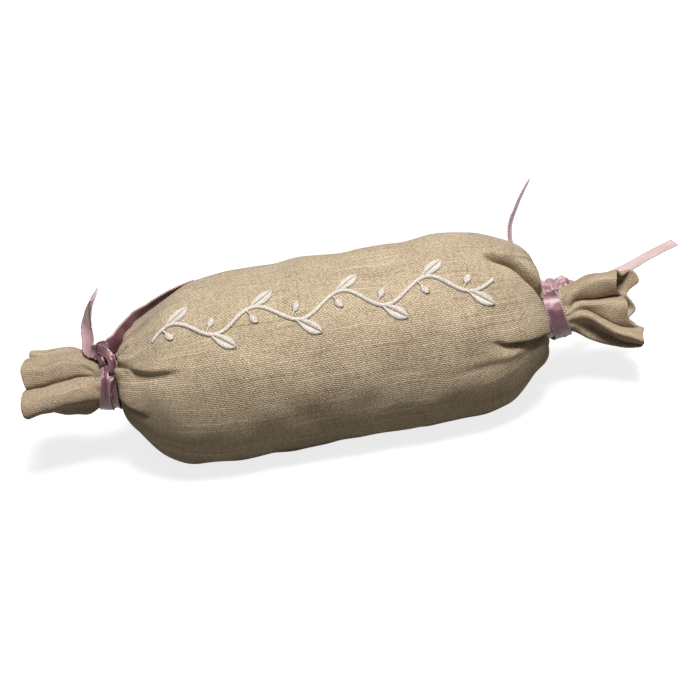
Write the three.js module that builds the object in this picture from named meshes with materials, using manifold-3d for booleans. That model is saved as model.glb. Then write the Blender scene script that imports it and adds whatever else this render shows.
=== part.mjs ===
// Lavender sachet: a filled linen bolster, tied at both necks with satin ribbon.
// Millimetres. +X runs along the bolster, -Y faces the viewer and +Z is up.
// The origin is the middle of the flat patch on which the bag rests.
// Angles round the bag and its necks start at the front (-Y) and rise over the top.
import * as THREE from "three";
import { mergeVertices } from "three/addons/utils/BufferGeometryUtils.js";
import Module from "manifold-3d";

const wasm = await Module();
wasm.setup();

// Gaps between neighbouring pieces
const clothGap = 0.3;
const vineGap = 0.45; // the vine stands on a cloth made of flat facets
const liningGap = 0.5; // and what lines the cover lies against the same facets
const gatherGap = 0.6; // room for a gather to turn in its neck

// Bag
const bagWidth = 69;
const bagRise = 63;
const bagSink = 2.8; // the round would dip this far below the floor; it rests flat
const tieSpan = 160; // between the middles of the two ties
const leftNeckHeight = 32.5;
const rightNeckHeight = 29;
const neckRadius = 9.2;
const neckLength = 7.4;
const leftShoulder = 44; // length over which the bag swells from its neck
const rightShoulder = 35;
const coverWall = 0.8;
const pleatCount = 7;
const pleatDepth = 3;
const pleatPeak = 4.5; // distance from the neck at which a pleat is deepest
const leftNeckTilt = 5; // degrees, upwards
const rightNeckTilt = -11;
const neckBend = 18; // the bag bends into its tilted neck over this length

// Gathers: the tight bundles inside the ties
const neckWall = 2;
const neckBore = 2.4;
const boreLength = 3;

// Ruffles
const ruffleTilt = 29; // the steepest lean, with lift and swing together
const throatRadius = 10.4;
const ruffleWall = 1.2;
const ruffleFloor = 11; // how far out the ruffle's hollow starts

// Mouth of each ruffle: the angle, radius and reach of its crests and valleys
const leftMouth = [
  [-84, 11.6, 28],
  [-56, 8.9, 28],
  [-26, 12.4, 29.5],
  [2, 9, 27],
  [28, 12.6, 29],
  [56, 9.3, 25.5],
  [82, 12.2, 24.5],
  [112, 9, 26],
  [142, 12.4, 28],
  [172, 9, 28],
  [204, 12.4, 29],
  [240, 9.2, 28],
];
const rightMouth = [
  [-62, 15.4, 30.5],
  [-34, 10, 26],
  [-8, 12.4, 23.5],
  [18, 9.4, 23],
  [42, 12.6, 28],
  [68, 9.4, 22.5],
  [92, 12.8, 21.5],
  [124, 9.4, 25],
  [156, 12.8, 29],
  [186, 9.4, 28.5],
  [220, 13, 29.5],
  [258, 10, 29],
];

// Inner bag and filling
const innerInset = 3.6; // from the cover's outside; the seam lies between them
const innerWall = 0.4;
const innerHalf = 66;
const innerRound = 16; // length of its rounded ends
const fillingMouth = 4;
const tuftLength = 6.4;
const tuftFlare = 1.1;

// Lengthwise seam at the back
const seamAngle = 205;
const seamHalfLength = 58;
const seamWidth = 9;
const seamThickness = 1.2;
const stitchCount = 14;
const stitchSway = 0.5;
const stitchWidth = 0.8;
const stitchThickness = 0.4;

// Embroidered vine
const vineAngle = 58;
const vineStart = -61;
const vineEnd = 59;
const vineWaves = 4;
const vineSwing = 4.2;
const stemWidth = 1.9;
const threadRise = 0.9;
const threadEdge = 0.4;
const leafLength = 10.5;
const leafWidth = 4.8;
const leafLean = 38; // degrees from the stem's run
const budLength = 6.6;
const budWidth = 3;
const budLean = 62;
const backingHalfLength = 58;
const backingWidth = 25;
const backingThickness = 0.5;

// Ribbons
const ribbonWidth = 6;
const ribbonThickness = 0.6;
const turnGap = 0.5; // between one turn of a ribbon and the next
const crossing = 60; // degrees over which the first turn passes into the second
const turnShift = 1; // how far the right ribbon's second turn lies beside its first
const strandWidth = 2.9; // the left ribbon is crumpled narrow in its turns
const knotLength = 6.4;
const knotWidth = 5.6;
const knotHeight = 4.2;
const knotStrap = 0.8;
const leftKnotAngle = 80;
const rightKnotAngle = 158;
const tailLead = 2.2; // a tail leaves its knot straight over this length
const outerLean = 10; // degrees off the neck, for the tails that leave outwards
const innerLean = 60; // and for those that leave towards the bag

// Free tails: points from the middle of their tie, along X, Y and Z
const leftUpRoute = [
  [-4.6, 2.5, 16.9],
  [-4.6, 6, 18.8],
  [-3.2, 5, 23.4],
  [-0.5, -1.6, 32.2],
  [2.2, -9, 40],
];
const rightUpRoute = [
  [-6, 20.5, 10.5],
  [-9.2, 25.5, 15],
  [-9, 28, 22],
  [-5.4, 30, 29.2],
  [0.2, 32, 37.7],
];
const rightOutRoute = [
  [10.5, 17.5, -0.6],
  [19.5, 23, -3.6],
  [30.5, 28, -3.4],
  [41.3, 31.5, -1],
  [51.2, 34, 1],
];

// The tail that rests on the bag: distance from the tie, angle and height above the cloth
const leftBackStops = [
  [7, 109, 2.5],
  [8.6, 132, 1.8],
  [11, 142, 1.7],
  [15, 144, 1.5],
  [20.5, 144, 1.3],
  [27, 144, 1.3],
  [35, 142, 1.3],
];

const leftUpAcross = new THREE.Vector3(0.8, 0.55, 0.2); // width directions at their ends
const rightUpAcross = new THREE.Vector3(0.5, 0.7, -0.5);
const rightOutAcross = new THREE.Vector3(-0.3, 0.9, 0.2);

// Facets
const aroundBag = 28; // four facets to a pleat
const aroundInner = 24;
const aroundRuffle = 36;
const turnSteps = 24;
const tailSteps = 22;
const liningRows = 20;

const linen = { color: 0xc2ad8c, roughness: 0.92, metalness: 0 };
const muslin = { color: 0xe4dac6, roughness: 0.95, metalness: 0 };
const lavender = { color: 0x6e6388, roughness: 1, metalness: 0 };
const thread = { color: 0xf0eadf, roughness: 0.55, metalness: 0 };
const fleece = { color: 0xf1f0ea, roughness: 0.95, metalness: 0 };
const satin = { color: 0xa98789, roughness: 0.32, metalness: 0 };

const shoulderStart = (tieSpan - neckLength) / 2;
const socketRadius = neckRadius - neckWall;
const gatherRadius = socketRadius - gatherGap;
const group = new THREE.Group();
group.name = "lavender_sachet";

function vector(x, y, z) {
  return new THREE.Vector3(x, y, z);
}

function mix(from, to, share) {
  return from + (to - from) * share;
}

function radians(degrees) {
  return (degrees * Math.PI) / 180;
}

function smooth(share) {
  const held = Math.min(Math.max(share, 0), 1);
  return held * held * (3 - 2 * held);
}

function range(count, from, to) {
  return Array.from({ length: count + 1 }, (_, i) => mix(from, to, i / count));
}

function turn(count) {
  return range(count, 0, 2 * Math.PI).slice(0, count);
}

function spot(point) {
  return point.toArray().map((part) => part.toFixed(3)).join(" ");
}

function add(name, geometry, finish) {
  geometry.computeVertexNormals();
  const mesh = new THREE.Mesh(geometry, new THREE.MeshStandardMaterial(finish));
  mesh.name = name;
  mesh.material.name = name;
  group.add(mesh);
}

// A body from points and triangles, turned to face outwards
function body(points, faces) {
  let volume = 0;
  for (const [a, b, c] of faces) {
    volume += points[a].dot(vector(0, 0, 0).crossVectors(points[b], points[c]));
  }
  const facing = volume > 0 ? faces : faces.map(([a, b, c]) => [a, c, b]);
  const geometry = new THREE.BufferGeometry().setFromPoints(points);
  geometry.setIndex(facing.flat());
  return geometry;
}

// A body skinned over rings; a ring of one point closes an end
function skin(rings, looped = false) {
  const points = rings.flat();
  const starts = [];
  let next = 0;
  for (const ring of rings) {
    starts.push(next);
    next += ring.length;
  }
  const faces = [];
  const bands = looped ? rings.length : rings.length - 1;
  for (let i = 0; i < bands; i += 1) {
    const j = (i + 1) % rings.length;
    const count = Math.max(rings[i].length, rings[j].length);
    for (let k = 0; k < count; k += 1) {
      const k2 = (k + 1) % count;
      const a = starts[i] + (rings[i].length > 1 ? k : 0);
      const b = starts[i] + (rings[i].length > 1 ? k2 : 0);
      const c = starts[j] + (rings[j].length > 1 ? k : 0);
      const d = starts[j] + (rings[j].length > 1 ? k2 : 0);
      if (a !== b) faces.push([a, b, d]);
      if (c !== d) faces.push([a, d, c]);
    }
  }
  return body(points, faces);
}

// A sheet between an upper and a lower grid of points
function sheet(upper, lower) {
  const rows = upper.length;
  const columns = upper[0].length;
  const points = [...upper.flat(), ...lower.flat()];
  const under = rows * columns;
  const faces = [];
  const quad = (a, b, c, d) => faces.push([a, b, c], [a, c, d]);
  for (let i = 0; i + 1 < rows; i += 1) {
    for (let j = 0; j + 1 < columns; j += 1) {
      const a = i * columns + j;
      quad(a, a + 1, a + columns + 1, a + columns);
      quad(under + a, under + a + columns, under + a + columns + 1, under + a + 1);
    }
    const first = i * columns;
    const last = first + columns - 1;
    quad(first, first + columns, under + first + columns, under + first);
    quad(last, under + last, under + last + columns, last + columns);
  }
  for (let j = 0; j + 1 < columns; j += 1) {
    const end = (rows - 1) * columns + j;
    quad(j, under + j, under + j + 1, j + 1);
    quad(end, end + 1, under + end + 1, under + end);
  }
  return body(points, faces);
}

// A flat strip along points, with a direction across it at each
function strip(points, across, width, thickness) {
  const upper = [];
  const lower = [];
  points.forEach((point, i) => {
    const before = points[Math.max(i - 1, 0)];
    const after = points[Math.min(i + 1, points.length - 1)];
    const along = after.clone().sub(before).normalize();
    const through = vector(0, 0, 0).crossVectors(along, across[i]).normalize();
    const side = vector(0, 0, 0).crossVectors(through, along).multiplyScalar(width / 2);
    const rise = through.clone().multiplyScalar(thickness / 2);
    upper.push([point.clone().sub(side).add(rise), point.clone().add(side).add(rise)]);
    lower.push([point.clone().sub(side).sub(rise), point.clone().add(side).sub(rise)]);
  });
  return sheet(upper, lower);
}

function toManifold(geometry) {
  const bare = geometry.clone();
  bare.deleteAttribute("normal");
  bare.deleteAttribute("uv");
  const merged = mergeVertices(bare, 1e-4);
  const mesh = new wasm.Mesh({
    numProp: 3,
    vertProperties: new Float32Array(merged.attributes.position.array),
    triVerts: new Uint32Array(merged.index.array),
  });
  return new wasm.Manifold(mesh);
}

// The united body's points, each taken through a mapping
function fromManifold(united, map) {
  const mesh = united.getMesh();
  const points = [];
  for (let i = 0; i < mesh.vertProperties.length; i += mesh.numProp) {
    points.push(map(vector(...mesh.vertProperties.slice(i, i + 3))));
  }
  const faces = [];
  for (let i = 0; i < mesh.triVerts.length; i += 3) {
    faces.push([...mesh.triVerts.slice(i, i + 3)]);
  }
  return body(points, faces);
}

function shoulderLength(side) {
  return side < 0 ? leftShoulder : rightShoulder;
}

// How full the bag is at a distance from its neck
function swell(side, reach) {
  const share = Math.min(Math.max(reach / shoulderLength(side), 0), 1);
  return Math.sqrt(1 - (1 - share) ** 2);
}

function pleat(reach, angle, side) {
  if (reach <= 0) return 0;
  const fade = (reach / pleatPeak) * Math.exp(1 - reach / pleatPeak);
  const shift = side < 0 ? Math.PI : 0;
  return (pleatDepth * fade * (1 - Math.cos(pleatCount * angle + shift))) / 2;
}

function neckTilt(side) {
  return radians(side < 0 ? leftNeckTilt : rightNeckTilt);
}

function neckHeight(side) {
  return side < 0 ? leftNeckHeight : rightNeckHeight;
}

function neckCentre(side) {
  return vector((side * tieSpan) / 2, 0, neckHeight(side));
}

// A point seen from a neck: outwards, across (Y) and up
function fromNeck(side, out, across, up) {
  const tilt = neckTilt(side);
  const along = out * Math.cos(tilt) - up * Math.sin(tilt);
  const rise = out * Math.sin(tilt) + up * Math.cos(tilt);
  return neckCentre(side).add(vector(side * along, across, rise));
}

// Height of the bag's middle at a distance from a neck
function middleHeight(side, reach) {
  return mix(neckHeight(side), (bagRise - bagSink) / 2, swell(side, reach));
}

// A point of the bag's surface, or of one inset from it, resting on a floor
function bagPoint(x, angle, inset, floor) {
  const side = x < 0 ? -1 : 1;
  const reach = shoulderStart - Math.abs(x) - inset;
  const full = swell(side, reach);
  const dent = inset + pleat(reach, angle, side);
  const halfWidth = mix(neckRadius, bagWidth / 2, full) - dent;
  const halfRise = mix(neckRadius, (bagRise + bagSink) / 2, full) - dent;
  const rise = middleHeight(side, reach) + halfRise * Math.sin(angle);
  const point = vector(x, -halfWidth * Math.cos(angle), Math.max(rise, floor));
  const bend = neckTilt(side) * smooth(1 - (shoulderStart - Math.abs(x)) / neckBend);
  const centre = neckCentre(side);
  return point.sub(centre).applyAxisAngle(vector(0, 1, 0), -side * bend).add(centre);
}

function bagRing(x, inset, floor) {
  return turn(aroundBag).map((angle) => bagPoint(x, angle, inset, floor));
}

function neckRing(side, out, radius, count = aroundBag) {
  return turn(count).map((angle) => {
    return fromNeck(side, out, -radius * Math.cos(angle), radius * Math.sin(angle));
  });
}

// Linen cover: the bag, its shoulders and two necks with a socket for the gathers
function neckSocket(side) {
  const face = neckLength / 2;
  const deepest = Math.acos(neckBore / socketRadius);
  const rings = range(4, 0, deepest).map((polar) => {
    return neckRing(side, face - socketRadius * Math.sin(polar), socketRadius * Math.cos(polar));
  });
  const boreEnd = face - socketRadius * Math.sin(deepest) - boreLength;
  rings.push(neckRing(side, boreEnd, neckBore));
  return rings;
}

function makeCover() {
  const outside = [0, 0.037, 0.105, 0.21, 0.37, 0.58, 0.79, 1]; // shares of a shoulder
  const inside = [0.09, 0.24, 0.42, 0.6, 0.79, 1];
  const stations = (shares) => {
    const half = (side) => shares.map((share) => side * (shoulderStart - share * shoulderLength(side)));
    return [...half(-1), 0, ...half(1).reverse()];
  };
  const rings = [
    neckRing(-1, neckLength / 2, neckRadius),
    ...stations(outside).map((x) => bagRing(x, 0, 0)),
    neckRing(1, neckLength / 2, neckRadius),
    ...neckSocket(1),
    ...stations(inside).reverse().map((x) => bagRing(x, coverWall, coverWall)),
    ...neckSocket(-1).reverse(),
  ];
  add("linen_cover", skin(rings, true), linen);
}

// Gathers: a round bundle of pleats in each neck, on which the ruffle bends
function makeGather(name, side) {
  const ball = new THREE.SphereGeometry(gatherRadius, 20, 12);
  const centre = fromNeck(side, neckLength / 2, 0, 0);
  ball.translate(centre.x, centre.y, centre.z);
  add(name, mergeVertices(ball.deleteAttribute("uv").deleteAttribute("normal")), linen);
}

// Radius and reach of a mouth at an angle, between its crests and valleys
function mouthAt(mouth, angle) {
  const first = radians(mouth[0][0]);
  const turned = first + ((((angle - first) % (2 * Math.PI)) + 2 * Math.PI) % (2 * Math.PI));
  const rows = [...mouth, [mouth[0][0] + 360, mouth[0][1], mouth[0][2]]];
  const index = rows.findIndex((row, i) => i > 0 && radians(row[0]) > turned);
  const before = rows[index - 1];
  const after = rows[index];
  const share = (turned - radians(before[0])) / radians(after[0] - before[0]);
  return [1, 2].map((column) => mix(before[column], after[column], smooth(share)));
}

function ruffleRing(side, mouth, share, inset) {
  const face = neckLength / 2;
  const throat = throatRadius * Math.tan(radians(ruffleTilt)) + clothGap;
  return turn(aroundRuffle).map((angle) => {
    const [radius, reach] = mouthAt(mouth, angle);
    const open = mix(throatRadius, radius, Math.sin((share * Math.PI) / 2)) - inset;
    const out = face + mix(throat, reach, share);
    return fromNeck(side, out, -open * Math.cos(angle), open * Math.sin(angle));
  });
}

function makeRuffle(name, side, mouth) {
  const face = neckLength / 2;
  const cupEdge = Math.asin(0.84);
  const cup = range(3, 0, cupEdge).slice(1).map((polar) => {
    const out = face + socketRadius * Math.cos(polar);
    return neckRing(side, out, socketRadius * Math.sin(polar), aroundRuffle);
  });
  const rings = [
    [fromNeck(side, face + socketRadius, 0, 0)],
    ...cup,
    ...[0, 0.25, 0.5, 0.75, 1].map((share) => ruffleRing(side, mouth, share, 0)),
    ...[1, 0.75, 0.5].map((share) => ruffleRing(side, mouth, share, ruffleWall)),
    [fromNeck(side, face + ruffleFloor, 0, 0)],
  ];
  add(name, skin(rings), linen);
}

// Inner bag, its tuft and the flowers: one round-ended form, inset three times
function innerRing(lean, side, inset, floor) {
  const end = innerRound - (inset - innerInset);
  const x = side * (innerHalf - innerRound + end * Math.sin(lean));
  const centre = vector(x, 0, middleHeight(side, shoulderStart - Math.abs(x) - inset));
  return turn(aroundInner).map((angle) => {
    const point = bagPoint(x, angle, inset, floor);
    return point.sub(centre).multiplyScalar(Math.cos(lean)).add(centre);
  });
}

function innerTip(side, inset) {
  const x = side * (innerHalf - (inset - innerInset));
  return [vector(x, 0, middleHeight(side, shoulderStart - Math.abs(x) - inset))];
}

function innerMouth(radius, x) {
  const height = middleHeight(1, shoulderStart - x);
  return turn(aroundInner).map((angle) => {
    return vector(x, -radius * Math.cos(angle), height + radius * Math.sin(angle));
  });
}

function innerRings(inset, floor) {
  const leans = [0, 25, 45, 62, 76].map(radians);
  const left = [...leans].reverse().map((lean) => innerRing(lean, -1, inset, floor));
  const right = leans.map((lean) => innerRing(lean, 1, inset, floor));
  return [innerTip(-1, inset), ...left, ...right];
}

function makeFilling() {
  const outerFloor = coverWall + clothGap;
  const innerFloor = outerFloor + innerWall;
  const outer = innerRings(innerInset, outerFloor);
  const inner = innerRings(innerInset + innerWall, innerFloor);
  const rings = [
    ...outer,
    innerMouth(fillingMouth, innerHalf),
    innerMouth(fillingMouth, innerHalf - innerWall),
    ...inner.reverse(),
  ];
  add("inner_bag", skin(rings), muslin);

  const fillInset = innerInset + innerWall + clothGap;
  const fill = innerRings(fillInset, innerFloor + clothGap);
  add("lavender_fill", skin([...fill, innerTip(1, fillInset)]), lavender);

  const tuftStart = innerHalf - innerWall;
  const tuftEnd = tuftStart + tuftLength;
  const tuftRadius = fillingMouth - clothGap;
  const tuft = [
    [vector(tuftStart, 0, middleHeight(1, shoulderStart - tuftStart))],
    innerMouth(tuftRadius, tuftStart),
    innerMouth(tuftRadius, tuftStart + tuftLength / 2),
    innerMouth(tuftRadius + tuftFlare, tuftEnd),
    [vector(tuftEnd, 0, middleHeight(1, shoulderStart - tuftEnd))],
  ];
  add("inner_bag_tuft", skin(tuft), muslin);
}

// A sheet against the cover's inside, centred on an angle
function liningSheet(angle, halfLength, width, inset, thickness, columns) {
  const half = width / bagWidth;
  const grid = (depth) => range(liningRows, -halfLength, halfLength).map((x) => {
    return range(columns, radians(angle) - half, radians(angle) + half).map((spread) => {
      return bagPoint(x, spread, depth, depth);
    });
  });
  return sheet(grid(inset), grid(inset + thickness));
}

function makeSeam() {
  const inset = coverWall + liningGap;
  add(
    "seam_allowance",
    liningSheet(seamAngle, seamHalfLength, seamWidth, inset, seamThickness, 3),
    linen
  );
  const depth = inset + seamThickness + clothGap;
  const half = stitchWidth / bagWidth;
  const grid = (down) => range(stitchCount * 4, -seamHalfLength, seamHalfLength).map((x, i) => {
    const sway = (Math.sin((i * Math.PI) / 2) * stitchSway * 2) / bagWidth;
    return [-half, half].map((spread) => {
      return bagPoint(x, radians(seamAngle) + sway + spread, down, down);
    });
  });
  add("seam_thread", sheet(grid(depth), grid(depth + stitchThickness)), thread);
}

// Embroidery: drawn flat as length, height and rise, then laid on the bag
function stemHeight(x) {
  const share = (x - vineStart) / (vineEnd - vineStart);
  return vineSwing * Math.sin(share * vineWaves * 2 * Math.PI);
}

function stitched(points, halfWidths) {
  const upper = [];
  const lower = [];
  points.forEach((point, i) => {
    const before = points[Math.max(i - 1, 0)];
    const after = points[Math.min(i + 1, points.length - 1)];
    const along = after.clone().sub(before).normalize();
    const side = vector(-along.y, along.x, 0).multiplyScalar(halfWidths[i]);
    const edges = [point.clone().sub(side), point.clone(), point.clone().add(side)];
    upper.push(edges.map((edge, k) => edge.clone().setZ(k === 1 ? threadRise : threadEdge)));
    lower.push(edges);
  });
  return toManifold(sheet(upper, lower));
}

function sprig(x, lean, length, halfWidthAt) {
  const start = vector(x, stemHeight(x), 0);
  const heading = vector(Math.cos(radians(lean)), Math.sin(radians(lean)), 0);
  const shares = range(7, 0, 1);
  const points = shares.map((share) => start.clone().addScaledVector(heading, length * share));
  return stitched(points, shares.map(halfWidthAt));
}

function makeVine() {
  const stemPoints = range(64, vineStart, vineEnd).map((x) => vector(x, stemHeight(x), 0));
  const pieces = [stitched(stemPoints, stemPoints.map(() => stemWidth / 2))];
  const wave = (vineEnd - vineStart) / vineWaves;
  const tip = stemWidth / 4;
  const leaf = (share) => tip + (leafWidth / 2 - tip) * Math.sin(Math.PI * share) ** 0.8;
  const bud = (share) => {
    if (share < 0.45) return tip;
    return tip + (budWidth / 2 - tip) * Math.sin((Math.PI * (share - 0.4)) / 0.62);
  };
  for (let i = 0; i < vineWaves * 2; i += 1) {
    const side = i % 2 === 0 ? 1 : -1;
    const crest = vineStart + (i + 0.5) * (wave / 2);
    pieces.push(sprig(crest - wave / 16, side * leafLean, leafLength, leaf));
    pieces.push(sprig(crest - wave / 9, -side * budLean, budLength, bud));
  }
  const united = wasm.Manifold.union(pieces);
  const laid = fromManifold(united, (point) => {
    const angle = radians(vineAngle) + (point.y * 2) / bagWidth;
    return bagPoint(point.x, angle, -vineGap - point.z, 0);
  });
  add("embroidered_vine", laid, thread);
  const inset = coverWall + liningGap;
  add(
    "embroidery_backing",
    liningSheet(vineAngle, backingHalfLength, backingWidth, inset, backingThickness, 7),
    fleece
  );
}

// Ribbon turns: one unbroken strip, twice round the neck, whose crossing the knot hides
function ribbonTurns(side, knotAngle, width, shift, climb) {
  const sweep = radians(720 - crossing - 12);
  const count = Math.round((turnSteps * sweep) / (2 * Math.PI));
  const firstRadius = neckRadius + clothGap + ribbonThickness / 2;
  const points = range(count, 0, sweep).map((swept) => {
    const angle = radians(knotAngle + crossing / 2) + swept;
    const passed = smooth((swept - radians(360 - crossing)) / radians(crossing));
    const radius = firstRadius + climb * passed;
    const out = mix(-shift / 2, shift / 2, passed);
    return fromNeck(side, out, -radius * Math.cos(angle), radius * Math.sin(angle));
  });
  const across = points.map(() => fromNeck(side, 1, 0, 0).sub(neckCentre(side)));
  let least = Infinity;
  for (let i = 0; i < points.length; i += 1) {
    for (let j = i + turnSteps / 2; j < points.length; j += 1) {
      const between = points[j].clone().sub(points[i]);
      const out = Math.abs(between.dot(across[i]));
      const radial = Math.sqrt(Math.max(between.lengthSq() - out * out, 0));
      const outGap = Math.max(out - width, 0);
      const radialGap = Math.max(radial - ribbonThickness, 0);
      least = Math.min(least, Math.hypot(outGap, radialGap));
    }
  }
  return { solid: strip(points, across, width, ribbonThickness), least };
}

// A knot on the outer turn, with its strap over it
function makeKnot(name, side, angle, ribbonOutside) {
  const lump = new THREE.SphereGeometry(1, 18, 12);
  lump.scale(knotLength / 2, knotWidth / 2, knotHeight / 2);
  const strap = new THREE.TorusGeometry(1, knotStrap / (knotHeight / 2), 8, 20);
  strap.scale(knotWidth / 2, knotHeight / 2, knotHeight / 2);
  strap.rotateY(Math.PI / 2);
  strap.rotateX(Math.PI / 2);
  const knot = toManifold(lump).add(toManifold(strap));
  const centre = knotCentre(ribbonOutside);
  add(name, fromManifold(knot, (point) => {
    const up = centre + point.z;
    const across = -Math.cos(angle) * up - Math.sin(angle) * point.y;
    const rise = Math.sin(angle) * up - Math.cos(angle) * point.y;
    return fromNeck(side, point.x, across, rise);
  }), satin);
}

function knotCentre(ribbonOutside) {
  return ribbonOutside + clothGap + knotStrap + knotHeight / 2;
}

// Where a tail leaves its knot straight, at the knot's outer (1) or inner (-1) end
function tailLeaves(side, angle, ribbonOutside, end, lean) {
  const outShare = Math.cos(radians(lean));
  const upShare = Math.sin(radians(lean));
  const surface = 1 / Math.hypot(outShare / (knotLength / 2), upShare / (knotHeight / 2));
  const start = surface + clothGap;
  return [start, start + tailLead].map((distance) => {
    const up = knotCentre(ribbonOutside) + upShare * distance;
    const out = end * outShare * distance;
    return fromNeck(side, out, -up * Math.cos(angle), up * Math.sin(angle));
  });
}

// The direction round a neck at an angle
function roundNeck(side, angle) {
  return fromNeck(side, 0, Math.sin(angle), Math.cos(angle)).sub(neckCentre(side));
}

// A tail: a flat strip along a smooth curve, whose width turns to another direction by a share of it
function makeTail(name, points, startAcross, endAcross, turned) {
  const curve = new THREE.CatmullRomCurve3(points, false, "centripetal");
  const route = curve.getSpacedPoints(tailSteps);
  const across = route.map((_, i) => {
    return startAcross.clone().lerp(endAcross, smooth(i / tailSteps / turned)).normalize();
  });
  add(name, strip(route, across, ribbonWidth, ribbonThickness), satin);
  const along = route[1].clone().sub(route[0]).normalize();
  const axis = startAcross.clone().addScaledVector(along, -startAcross.dot(along)).normalize();
  console.log(`${name}: ${curve.getLength().toFixed(1)} long, at ${spot(route[0])}, about ${spot(axis)}`);
}

function routeFrom(side, leaves, route) {
  return [...leaves, ...route.map((step) => neckCentre(side).add(vector(...step)))];
}

function makeLeftTie() {
  const angle = radians(leftKnotAngle);
  const shift = strandWidth + turnGap;
  const turns = ribbonTurns(-1, leftKnotAngle, strandWidth, shift, 0);
  add("left_ribbon_turns", turns.solid, satin);
  console.log(`left_ribbon_turns: least gap to itself ${turns.least.toFixed(2)}`);
  const outside = neckRadius + clothGap + ribbonThickness;
  makeKnot("left_ribbon_knot", -1, angle, outside);
  const across = roundNeck(-1, angle);
  const upLeaves = tailLeaves(-1, angle, outside, 1, outerLean);
  makeTail("left_tail_up", routeFrom(-1, upLeaves, leftUpRoute), across, leftUpAcross, 1);
  const backLeaves = tailLeaves(-1, angle, outside, -1, innerLean);
  const resting = leftBackStops.map(([station, around, lift]) => {
    return bagPoint(station - tieSpan / 2, radians(around), -lift, 0);
  });
  const restAngle = radians(leftBackStops.at(-1)[1]);
  const flat = vector(0, Math.sin(restAngle), Math.cos(restAngle));
  makeTail("left_tail_back", [...backLeaves, ...resting], across, flat, 0.4);
}

function makeRightTie() {
  const angle = radians(rightKnotAngle);
  const climb = ribbonThickness + turnGap;
  const turns = ribbonTurns(1, rightKnotAngle, ribbonWidth, turnShift, climb);
  add("right_ribbon_turns", turns.solid, satin);
  console.log(`right_ribbon_turns: least gap to itself ${turns.least.toFixed(2)}`);
  const outside = neckRadius + clothGap + ribbonThickness + climb;
  makeKnot("right_ribbon_knot", 1, angle, outside);
  const across = roundNeck(1, angle);
  const upLeaves = tailLeaves(1, angle, outside, -1, innerLean);
  makeTail("right_tail_up", routeFrom(1, upLeaves, rightUpRoute), across, rightUpAcross, 1);
  const outLeaves = tailLeaves(1, angle, outside, 1, outerLean);
  makeTail("right_tail_out", routeFrom(1, outLeaves, rightOutRoute), across, rightOutAcross, 1);
}

makeCover();
makeSeam();
makeFilling();
makeVine();
makeGather("left_gather", -1);
makeGather("right_gather", 1);
makeRuffle("left_ruffle", -1, leftMouth);
makeRuffle("right_ruffle", 1, rightMouth);
makeLeftTie();
makeRightTie();

for (const side of [-1, 1]) {
  const pivot = fromNeck(side, neckLength / 2, 0, 0);
  const upright = fromNeck(side, 0, 0, 1).sub(neckCentre(side));
  console.log(`ruffle pivot: ${spot(pivot)}, upright ${spot(upright)}`);
}

export default group;
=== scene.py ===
import math
import bpy
import numpy as np
from mathutils import Matrix, Vector


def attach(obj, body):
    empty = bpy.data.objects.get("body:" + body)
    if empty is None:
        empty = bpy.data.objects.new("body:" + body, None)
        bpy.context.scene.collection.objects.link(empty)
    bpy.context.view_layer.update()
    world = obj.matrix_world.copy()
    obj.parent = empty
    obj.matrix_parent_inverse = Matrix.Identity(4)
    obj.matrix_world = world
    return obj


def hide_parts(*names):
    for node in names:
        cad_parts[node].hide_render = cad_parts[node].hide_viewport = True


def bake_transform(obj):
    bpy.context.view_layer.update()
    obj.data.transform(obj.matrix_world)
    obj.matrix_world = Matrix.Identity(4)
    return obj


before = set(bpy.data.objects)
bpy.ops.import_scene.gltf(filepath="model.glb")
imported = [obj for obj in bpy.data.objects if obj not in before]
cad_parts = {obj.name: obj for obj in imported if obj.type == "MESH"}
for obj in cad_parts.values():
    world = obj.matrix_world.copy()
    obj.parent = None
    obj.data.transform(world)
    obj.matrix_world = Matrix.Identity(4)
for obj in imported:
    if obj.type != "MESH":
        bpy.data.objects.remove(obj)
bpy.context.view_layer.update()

mm = 0.001  # lengths below are in millimetres, meshes in metres
uvScale = 0.01  # pattern lengths are kept in decimetres

# angles round the bag and its necks start at the front and rise over the top


def ease(share):
    share = np.clip(share, 0, 1)
    return share * share * (3 - 2 * share)


def mix(first, second, share):
    return first + (second - first) * share


def unit(rows):
    return rows / np.maximum(np.linalg.norm(rows, axis=-1, keepdims=True), 1e-9)


def bump(offset, width):
    return np.exp(-(offset / width) ** 2)


def turnGap(angle, middle):  # between half a turn back and half a turn on
    return (angle - middle + np.pi) % (2 * np.pi) - np.pi


# smooth unevenness of about this size, the same on every run
def unevenness(points, size, seed, count=20):
    rng = np.random.default_rng(seed)
    ways = unit(rng.normal(size=(count, 3))) * 2 * np.pi
    ways = ways / (size * rng.uniform(low=0.7, high=1.6, size=(count, 1)))
    waves = np.sin(points @ ways.T + rng.uniform(0, 2 * np.pi, count))
    return waves.sum(-1) / math.sqrt(count / 2)


# lengths walked along rows of points, from 0
def walk(points, axis=0, closed=False):
    if closed:
        points = np.concatenate([points, points.take([0], axis)], axis)
    steps = np.linalg.norm(np.diff(points, axis=axis), axis=-1)
    return np.concatenate([0 * steps.take([0], axis), np.cumsum(steps, axis=axis)], axis)


# one stretch of a smooth line, from the second of four points to the third
def stretch(p0, p1, p2, p3, shares):
    gaps = [np.linalg.norm((q - p)[..., :3], axis=-1, keepdims=True) ** 0.5 + 1e-6
            for p, q in ((p0, p1), (p1, p2), (p2, p3))]
    t1, t2, t3 = gaps[0], gaps[0] + gaps[1], sum(gaps)
    t = mix(t1, t2, shares)
    a1 = mix(p0, p1, t / t1)
    a2 = mix(p1, p2, (t - t1) / (t2 - t1))
    a3 = mix(p2, p3, (t - t2) / (t3 - t2))
    b1 = mix(a1, a2, t / t2)
    b2 = mix(a2, a3, (t - t1) / (t3 - t1))
    return mix(b1, b2, (t - t1) / (t2 - t1))


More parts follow.
